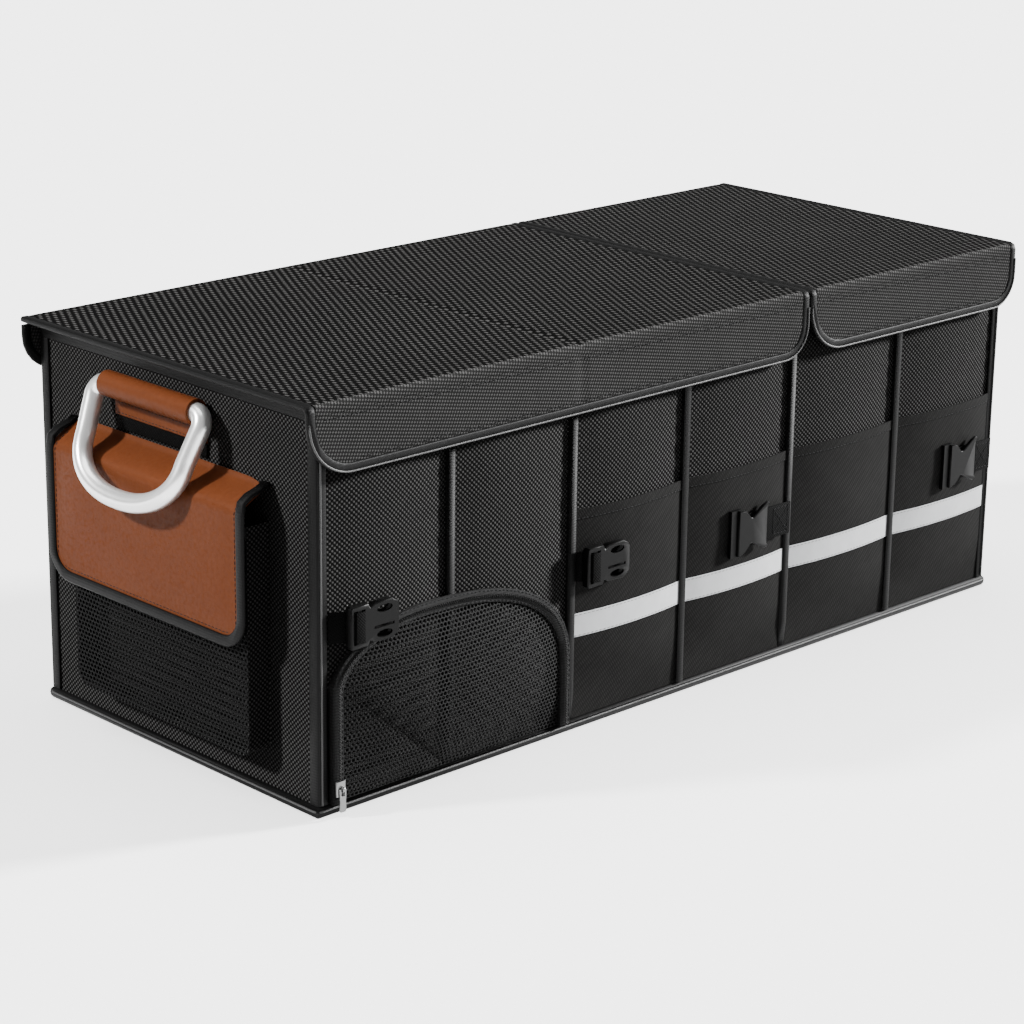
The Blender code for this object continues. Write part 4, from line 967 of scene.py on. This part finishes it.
def build_sleeve(word, side):
    """Leather rolled round the bar and sewn down below it."""
    half = HANDLE_HALF_WIDTH - ELBOW_RADIUS
    reach = HANDLE_AXIS_X - RIGHT - CLEAR
    tab_low = low("handle_sleeve_left").z - HANDLE_AXIS_Z
    tab = 0.0032

    def circle(radius, angles):
        return [(radius * math.cos(a), radius * math.sin(a)) for a in angles]

    roll = [math.radians(a) for a in spread(-80, 226, 44)]
    under = [math.radians(a) for a in (264, 256, 248, 240, 232)]
    section = circle(SLEEVE_OUTER, roll)
    section += [(-reach, SLEEVE_OUTER * math.sin(roll[-1]) * 0.75), (-reach, tab_low)]
    section += [(-reach + tab * 0.8, tab_low), (-reach + tab, tab_low + 0.0007)]
    section += [(-reach + tab, -SLEEVE_OUTER * 1.12)]
    section += circle(SLEEVE_INNER, under) + circle(SLEEVE_INNER, reversed(roll))
    middle = -side * HANDLE_SHIFT
    rings = []
    for y in spread(-half, half, 30):
        stretch = 1 + 0.00025 * wander(y, 0.0, 0.4, 60.0)
        ring = [(side * (HANDLE_AXIS_X + x * stretch), middle + y, HANDLE_AXIS_Z + z) for x, z in section]
        rings.append([Vector(p) for p in ring])
    obj = rings_piece("handle_%s_leather" % word, rings, False)
    smooth_by_angle(obj, 40)
    finish_piece(obj, "leather", "handle_sleeve_" + word)
    x = side * (RIGHT + CLEAR + tab + THREAD_LIFT)
    rows = []
    for z in (tab_low + 0.0022, tab_low + 0.0105):
        ends = [Vector((x, middle + y, HANDLE_AXIS_Z + z)) for y in (-half + 0.002, half - 0.002)]
        rows.append((ends, Vector((side, 0, 0))))
    stitch_rows("handle_%s_stitches" % word, rows)


def build_handles():
    for word, side, lean in (("left", -1, HANDLE_LEAN), ("right", 1, 0.0)):
        build_handle(word, side, lean)
        build_sleeve(word, side)
        dressed_copy("handle_webbing_" + word, "webbing", 0.0003)


# Side pocket


def curtain_line():
    """Side view of the leather flap as (stand off the wall, z), from its sewn top to its free edge."""
    full = POCKET_DEPTH + 0.002 + 0.0006 + CLEAR + LEATHER_THICK / 2 + 0.0003
    near = CLEAR + LEATHER_THICK / 2 + 0.0002
    points = []
    for t in spread(0.0, 1.0, 14):
        z = LEATHER_TOP - (LEATHER_TOP - LEATHER_SHOULDER + 0.004) * t
        points.append((near + (full - near) * (1.0 - math.cos(math.pi * min(1.0, t * 1.02))) / 2, z))
    points += [(full, z) for z in spread(points[-1][1], LEATHER_LOW, 26)[1:]]
    return points


def build_leather_flap():
    line = [Vector(p) for p in curtain_line()]
    runs = [0.0]
    for a, b in zip(line, line[1:]):
        runs.append(runs[-1] + (b - a).length)
    total = runs[-1]
    edge = LEATHER_EDGE * 0.55
    y0 = LEATHER_SHIFT - LEATHER_HALF + edge
    y1 = LEATHER_SHIFT + LEATHER_HALF - edge
    r = LEATHER_RADIUS - edge
    foot = total - edge

    def side_view(run):
        for i in range(len(runs) - 1):
            if run <= runs[i + 1] or i == len(runs) - 2:
                span = runs[i + 1] - runs[i]
                return line[i].lerp(line[i + 1], (run - runs[i]) / span), (line[i + 1] - line[i]).normalized()

    def place(y, share, lift=0.0):
        d = min(y - y0, y1 - y)
        rise = corner_rise(d, r)
        run = rise * 0.45 + (foot - rise * 1.45) * share
        p, along = side_view(run)
        out = Vector((-along.y, along.x))
        inside = ease(0.0, 0.03, d) * ease(0.0, 0.04, run) * (1.0 - ease(foot - 0.03, foot, run))
        swell = 0.0012 * inside * (0.6 + 0.6 * wander(0.2, y, run, 16.0))
        q = p + out * (LEATHER_THICK / 2 + lift + swell)
        return Vector((LEFT - q.x, y, q.y))

    ys = rounded_columns(y0, y1, r, r, 34, 10, 10)
    obj = sheet_piece("leather_flap", ys, spread(0.0, 1.0, 44), place, LEATHER_THICK)
    finish_piece(obj, "leather", "side_pocket_flap")
    inset = 0.0062
    rows = []
    for y in (ys[0] + inset, ys[-1] - inset):
        rows.append(([place(y, share, THREAD_LIFT) for share in spread(0.10, 0.93, 40)], TO_LEFT))
    rows.append(([place(y, 1.0 - inset / foot, THREAD_LIFT) for y in ys[8:-8]], TO_LEFT))
    stitch_rows("leather_flap_stitches", rows)


def build_side_pocket():
    build_leather_flap()
    dressed_tape("side_pocket_flap_binding")
    dressed_copy("side_pocket_gusset", "body", angle=50)
    dressed_tape("side_pocket_hem", 50)
    box_low, box_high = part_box("side_pocket_mesh")
    face = low("side_pocket_gusset").x + 0.0002
    span = box_high.y - box_low.y
    tall = box_high.z - box_low.z

    def place(y, share):
        foot = corner_rise(min(y - box_low.y, box_high.y - y), 0.010)
        z = box_low.z + foot + (tall - foot) * share
        a = (y - box_low.y) / span
        b = (z - box_low.z) / tall
        return Vector((face - POCKET_SKIN + 0.0010 - 0.002 * 16 * a * (1 - a) * b * (1 - b), y, z))

    ys = spread(box_low.y, box_high.y, 40)
    obj = sheet_piece("side_netting", ys, spread(0.0, 1.0, 30), place, NET_SKIN)
    # Its half-bright netting finish is painted shade.
    finish_piece(obj, "shaded_side_net", "side_pocket_mesh")


# Arched mesh pocket


def arch_line(inset, steps=40):
    """Outline of the arched pocket as (x, z), from its lower left corner round to its lower right."""
    x0 = LEFT + 0.0085 + inset
    x1 = SEAMS[2] - SEAM_WIDTH / 2 - CLEAR - inset
    peak_x = LEFT + (SEAMS[2] - LEFT) * 0.39
    peak_z = ARCH_PEAK - inset

    def quarter(side_x, spring, squareness, angles):
        """A quarter of a squared ellipse between the arch's peak and one upright side."""
        for a in angles:
            u = math.sin(a) ** (2 / squareness)
            v = max(0.0, math.cos(a)) ** (2 / squareness)
            yield peak_x + (side_x - peak_x) * u, spring + (peak_z - spring) * v

    points = [(x0, z) for z in spread(BINDING_LOW, ARCH_LEFT_SPRING, 12)[:-1]]
    points += quarter(x0, ARCH_LEFT_SPRING, 1.9, spread(math.pi / 2, 0.0, steps))
    points += quarter(x1, ARCH_RIGHT_SPRING, 2.5, spread(0.0, math.pi / 2, steps)[1:])
    return points + [(x1, z) for z in spread(ARCH_RIGHT_SPRING, BINDING_LOW, 8)[1:]]


def build_net():
    rim = arch_line(TAPE_WIDTH - 0.0008)
    centre_x = LEFT + (SEAMS[2] - LEFT) * 0.48
    count = len(rim) - 1

    def place(k, s):
        x, z = rim[k]
        px = centre_x + (x - centre_x) * s
        pz = BINDING_LOW + (z - BINDING_LOW) * s
        lift = 0.0032 + (TAPE_FRONT - 0.0034) * ease(BINDING_LOW, BINDING_LOW + 0.025, pz) * 0.57
        lift += NET_BULGE * 4 * s * (1 - s) * max(0.0, math.sin(math.pi * k / count)) ** 0.6
        slack = 0.0008 * wander(px, 0.9, pz, 28.0) * 4 * s * (1 - s)
        return Vector((px, FRONT - lift - slack, pz))

    obj = sheet_piece("front_netting", range(count + 1), spread(0.0, 1.0, 40), place, NET_SKIN)
    finish_piece(obj, "net", "mesh_pocket_net")
    tall = max(z for _, z in rim) - BINDING_LOW
    opening = abs(sum(a[0] * b[1] - b[0] * a[1] for a, b in zip(rim, rim[1:] + rim[:1]))) / 2


def build_teeth():
    """Interlocked coil teeth along the middle of the zip's tape."""
    face = low("mesh_pocket_zip_teeth").y
    path = [Vector((x, face + 0.00045, z)) for x, z in arch_line(TAPE_WIDTH / 2)]
    bm = bmesh.new()
    for number, (at, along) in enumerate(resample(path, sizes().tooth_pitch / 2)):
        side = along.cross(TO_FRONT).normalized()
        hand = 1 if number % 2 else -1
        add_stitch(bm, at + side * (0.0005 * hand), side, TO_FRONT, 0.0020, 0.00048)
    bmesh.ops.recalc_face_normals(bm, faces=bm.faces)
    obj = object_from(bm, "zip_coil")
    smooth_by_angle(obj, 60)
    finish_piece(obj, "plastic", "mesh_pocket_zip_teeth")


def build_mesh_pocket():
    build_net()
    build_teeth()
    dressed_copy("mesh_pocket_zip_tape", "zip_tape", angle=60)
    dressed_copy("zip_slider", "zip_metal", 0.0002, 50)
    dressed_copy("zip_pull", "zip_metal", 0.00025, 50)
    rows = []
    for inset in (STITCH_INSET, TAPE_WIDTH - STITCH_INSET):
        path = [Vector((x, FRONT - TAPE_FRONT - 0.0003, z)) for x, z in arch_line(inset)]
        rows.append((path, TO_FRONT))
    stitch_rows("zip_tape_stitches", rows)


# Slip pockets


def sheet_stand(x, z):
    """How far a slip pocket's back stands off the straight front; it gapes a little towards its top."""
    slack = 0.0010 * ease(BINDING_LOW, SHEET_TOP, z)
    slack += 0.0007 * (1 + wander(x, 0.2, z, 22.0)) * ease(BAND_HIGH + 0.004, BAND_HIGH + 0.03, z)
    return bow(x, z) + CLEAR + slack * panel_arch(x)


def build_slip_pocket(word, first, last):
    box_low, box_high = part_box("pocket_sheet_" + word)
    hem = SHEET_TOP - SHEET_HEM
    xs = [x for x in panel_columns(first, last, 22) if box_low.x < x < box_high.x]
    xs = [box_low.x] + xs + [box_high.x]

    def place(x, z):
        skin = SHEET_SKIN + 0.0005 * ease(hem - 0.0004, hem + 0.0006, z)
        return Vector((x, FRONT - sheet_stand(x, z) - skin, z))

    zs = spread(BINDING_LOW, hem - 0.001, 46) + [hem - 0.0004, hem, hem + 0.0006]
    zs += spread(hem + 0.0012, SHEET_TOP, 4)
    obj = sheet_piece("slip_pocket_" + word, xs, zs, place, SHEET_SKIN)
    finish_piece(obj, "pocket", "pocket_sheet_" + word)
    hem_row = [place(x, hem + 0.0011) + TO_FRONT * THREAD_LIFT for x in xs]
    stitch_rows("slip_pocket_%s_stitches" % word, [(hem_row, TO_FRONT)])

    def band(x, z):
        return Vector((x, FRONT - sheet_stand(x, z) - SHEET_SKIN - CLEAR - STRIP_SKIN, z))

    strip = sheet_piece("light_strip_" + word, xs, spread(BAND_LOW, BAND_HIGH, 4), band, STRIP_SKIN)
    finish_piece(strip, "reflective", "reflective_strip_" + word)
    rows = []
    for z in (BAND_LOW + 0.0012, BAND_HIGH - 0.0012):
        rows.append(([band(x, z) + TO_FRONT * THREAD_LIFT for x in xs], TO_FRONT))
    stitch_rows("light_strip_%s_stitches" % word, rows, "pale_thread")


def build_slip_pockets():
    build_slip_pocket("middle", 2, 4)
    build_slip_pocket("right", 4, 6)


def build_buckles():
    halves = ("female_left", "female_middle", "male_middle", "male_right")
    for half in halves:
        dressed_copy("buckle_" + half, "plastic")
    for half in halves:
        dressed_copy("strap_" + half, "webbing", 0.0003)
    rows = []
    for node in ("strap_male_middle", "strap_male_right"):
        box_low, box_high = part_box(node)
        x0, x1, z0, z1 = box_high.x - 0.021, box_high.x - 0.003, box_low.z + 0.003, box_high.z - 0.003
        y = box_low.y - THREAD_LIFT
        a, b, c, d = (Vector((x, y, z)) for x, z in ((x0, z0), (x1, z0), (x1, z1), (x0, z1)))
        rows += [(path, TO_FRONT) for path in ([a, b, c, d, a], [a, c], [b, d])]
    stitch_rows("strap_stitches", rows)


# Stage


def sun_light(name, place, spread_angle, strength):
    """A distant light shining from a place towards the origin."""
    data = bpy.data.lights.new(name, "SUN")
    data.angle = math.radians(spread_angle)
    data.energy = strength
    obj = new_object(name, data)
    obj.location = place
    obj.rotation_euler = (-Vector(place)).to_track_quat("-Z", "Y").to_euler()


def build_floor():
    deselect()
    bpy.ops.mesh.primitive_plane_add(size=FLOOR_SIZE, location=(0, 0, -FLOOR_DROP))
    floor = bpy.context.object
    floor.name = "floor"
    deselect()
    _, shader = new_material("floor", 0.9, specular=0.1)
    feed(shader, {"Base Color": FLOOR_COLOUR, "Emission Color": WHITE, "Emission Strength": FLOOR_GLOW})
    floor.data.materials.append(bpy.data.materials["floor_finish"])
    floor.visible_diffuse = False


def build_sky():
    """A weak white sky, which looks as bright as the floor to the camera only."""
    world = bpy.data.worlds.new("studio")
    bpy.context.scene.world = world
    world.use_nodes = True
    tree = world.node_tree
    rays = tree.nodes.new("ShaderNodeLightPath")
    seen = times(rays.outputs["Is Camera Ray"], SEEN_SKY_STRENGTH - SKY_STRENGTH)
    feed(tree.nodes["Background"], {"Color": WHITE, "Strength": plus(seen, SKY_STRENGTH)})


def build_camera():
    data = bpy.data.cameras.new("camera")
    data.lens = CAMERA_LENS
    data.sensor_width = CAMERA_SENSOR
    data.clip_start = 0.05
    camera = new_object("camera", data)
    flat = math.cos(CAMERA_ELEVATION)
    level = (math.sin(CAMERA_AZIMUTH) * flat, -math.cos(CAMERA_AZIMUTH) * flat)
    back = Vector((*level, math.sin(CAMERA_ELEVATION)))
    right = (-back).cross(Vector((0, 0, 1))).normalized()
    up = right.cross(-back)
    tilted_right = right * math.cos(CAMERA_ROLL) + up * math.sin(CAMERA_ROLL)
    tilted_up = up * math.cos(CAMERA_ROLL) - right * math.sin(CAMERA_ROLL)
    turn = Matrix((tilted_right, tilted_up, back)).transposed().to_4x4()
    camera.matrix_world = Matrix.Translation(CAMERA_PLACE) @ turn
    bpy.context.scene.camera = camera


def build_stage():
    build_floor()
    build_sky()
    for sun in SUNS:
        sun_light(*sun)
    build_camera()


# Operators


class MaterialsOperator(bpy.types.Operator):
    """Make the cloth, leather, metal and plastic materials."""

    bl_idname = "organizer.materials"
    bl_label = "Materials"

    def execute(self, context):
        make_materials(context.scene.organizer_colours)
        return {"FINISHED"}


class WallsOperator(bpy.types.Operator):
    """Cover the walls, partitions and boards with cloth."""

    bl_idname = "organizer.walls"
    bl_label = "Walls and boards"

    def execute(self, context):
        build_walls()
        return {"FINISHED"}


class TrimOperator(bpy.types.Operator):
    """Finish the bindings and piping of the body."""

    bl_idname = "organizer.trim"
    bl_label = "Bindings and piping"

    def execute(self, context):
        build_trim()
        return {"FINISHED"}


class LidsOperator(bpy.types.Operator):
    """Cover both lids and their hanging flaps."""

    bl_idname = "organizer.lids"
    bl_label = "Lids"

    def execute(self, context):
        build_lids()
        return {"FINISHED"}


class HandlesOperator(bpy.types.Operator):
    """Make the metal handles and their leather sleeves."""

    bl_idname = "organizer.handles"
    bl_label = "Handles"

    def execute(self, context):
        build_handles()
        return {"FINISHED"}


class SidePocketOperator(bpy.types.Operator):
    """Make the netted side pocket and its leather flap."""

    bl_idname = "organizer.side_pocket"
    bl_label = "Side pocket"

    def execute(self, context):
        build_side_pocket()
        return {"FINISHED"}


class MeshPocketOperator(bpy.types.Operator):
    """Make the arched mesh pocket with its zip."""

    bl_idname = "organizer.mesh_pocket"
    bl_label = "Arched mesh pocket"

    def execute(self, context):
        build_mesh_pocket()
        return {"FINISHED"}


class SlipPocketsOperator(bpy.types.Operator):
    """Make the slip pockets and their light strips."""

    bl_idname = "organizer.slip_pockets"
    bl_label = "Slip pockets"

    def execute(self, context):
        build_slip_pockets()
        return {"FINISHED"}


class BucklesOperator(bpy.types.Operator):
    """Finish the buckles and their straps."""

    bl_idname = "organizer.buckles"
    bl_label = "Buckles and straps"

    def execute(self, context):
        build_buckles()
        return {"FINISHED"}


class StageOperator(bpy.types.Operator):
    """Set up the floor, the lights and the camera."""

    bl_idname = "organizer.stage"
    bl_label = "Stage"

    def execute(self, context):
        build_stage()
        return {"FINISHED"}


# Operators in the order in which main calls them
STEPS = ("materials", "walls", "trim", "lids", "handles")
STEPS += ("side_pocket", "mesh_pocket", "slip_pockets", "buckles", "stage")


class OrganizerPanel(bpy.types.Panel):
    """Lists the organizer's steps, sizes and colours."""

    bl_idname = "VIEW3D_PT_organizer"
    bl_label = "Trunk Organizer"
    bl_space_type = "VIEW_3D"
    bl_region_type = "UI"
    bl_category = "Organizer"

    def draw(self, context):
        for step in STEPS:
            self.layout.operator("organizer." + step)
        for group in (context.scene.organizer_sizes, context.scene.organizer_colours):
            box = self.layout.box()
            for name in group.bl_rna.properties.keys():
                if name not in ("rna_type", "name"):
                    box.prop(group, name)


CLASSES = (
    OrganizerSizes,
    OrganizerColours,
    MaterialsOperator,
    WallsOperator,
    TrimOperator,
    LidsOperator,
    HandlesOperator,
    SidePocketOperator,
    MeshPocketOperator,
    SlipPocketsOperator,
    BucklesOperator,
    StageOperator,
    OrganizerPanel,
)


def register():
    for item in CLASSES:
        bpy.utils.register_class(item)
    bpy.types.Scene.organizer_sizes = bpy.props.PointerProperty(type=OrganizerSizes)
    bpy.types.Scene.organizer_colours = bpy.props.PointerProperty(type=OrganizerColours)


def unregister():
    del bpy.types.Scene.organizer_colours
    del bpy.types.Scene.organizer_sizes
    for item in reversed(CLASSES):
        bpy.utils.unregister_class(item)


def main():
    register()
    for step in STEPS:
        getattr(bpy.ops.organizer, step)()


if __name__ == "__main__":
    main()
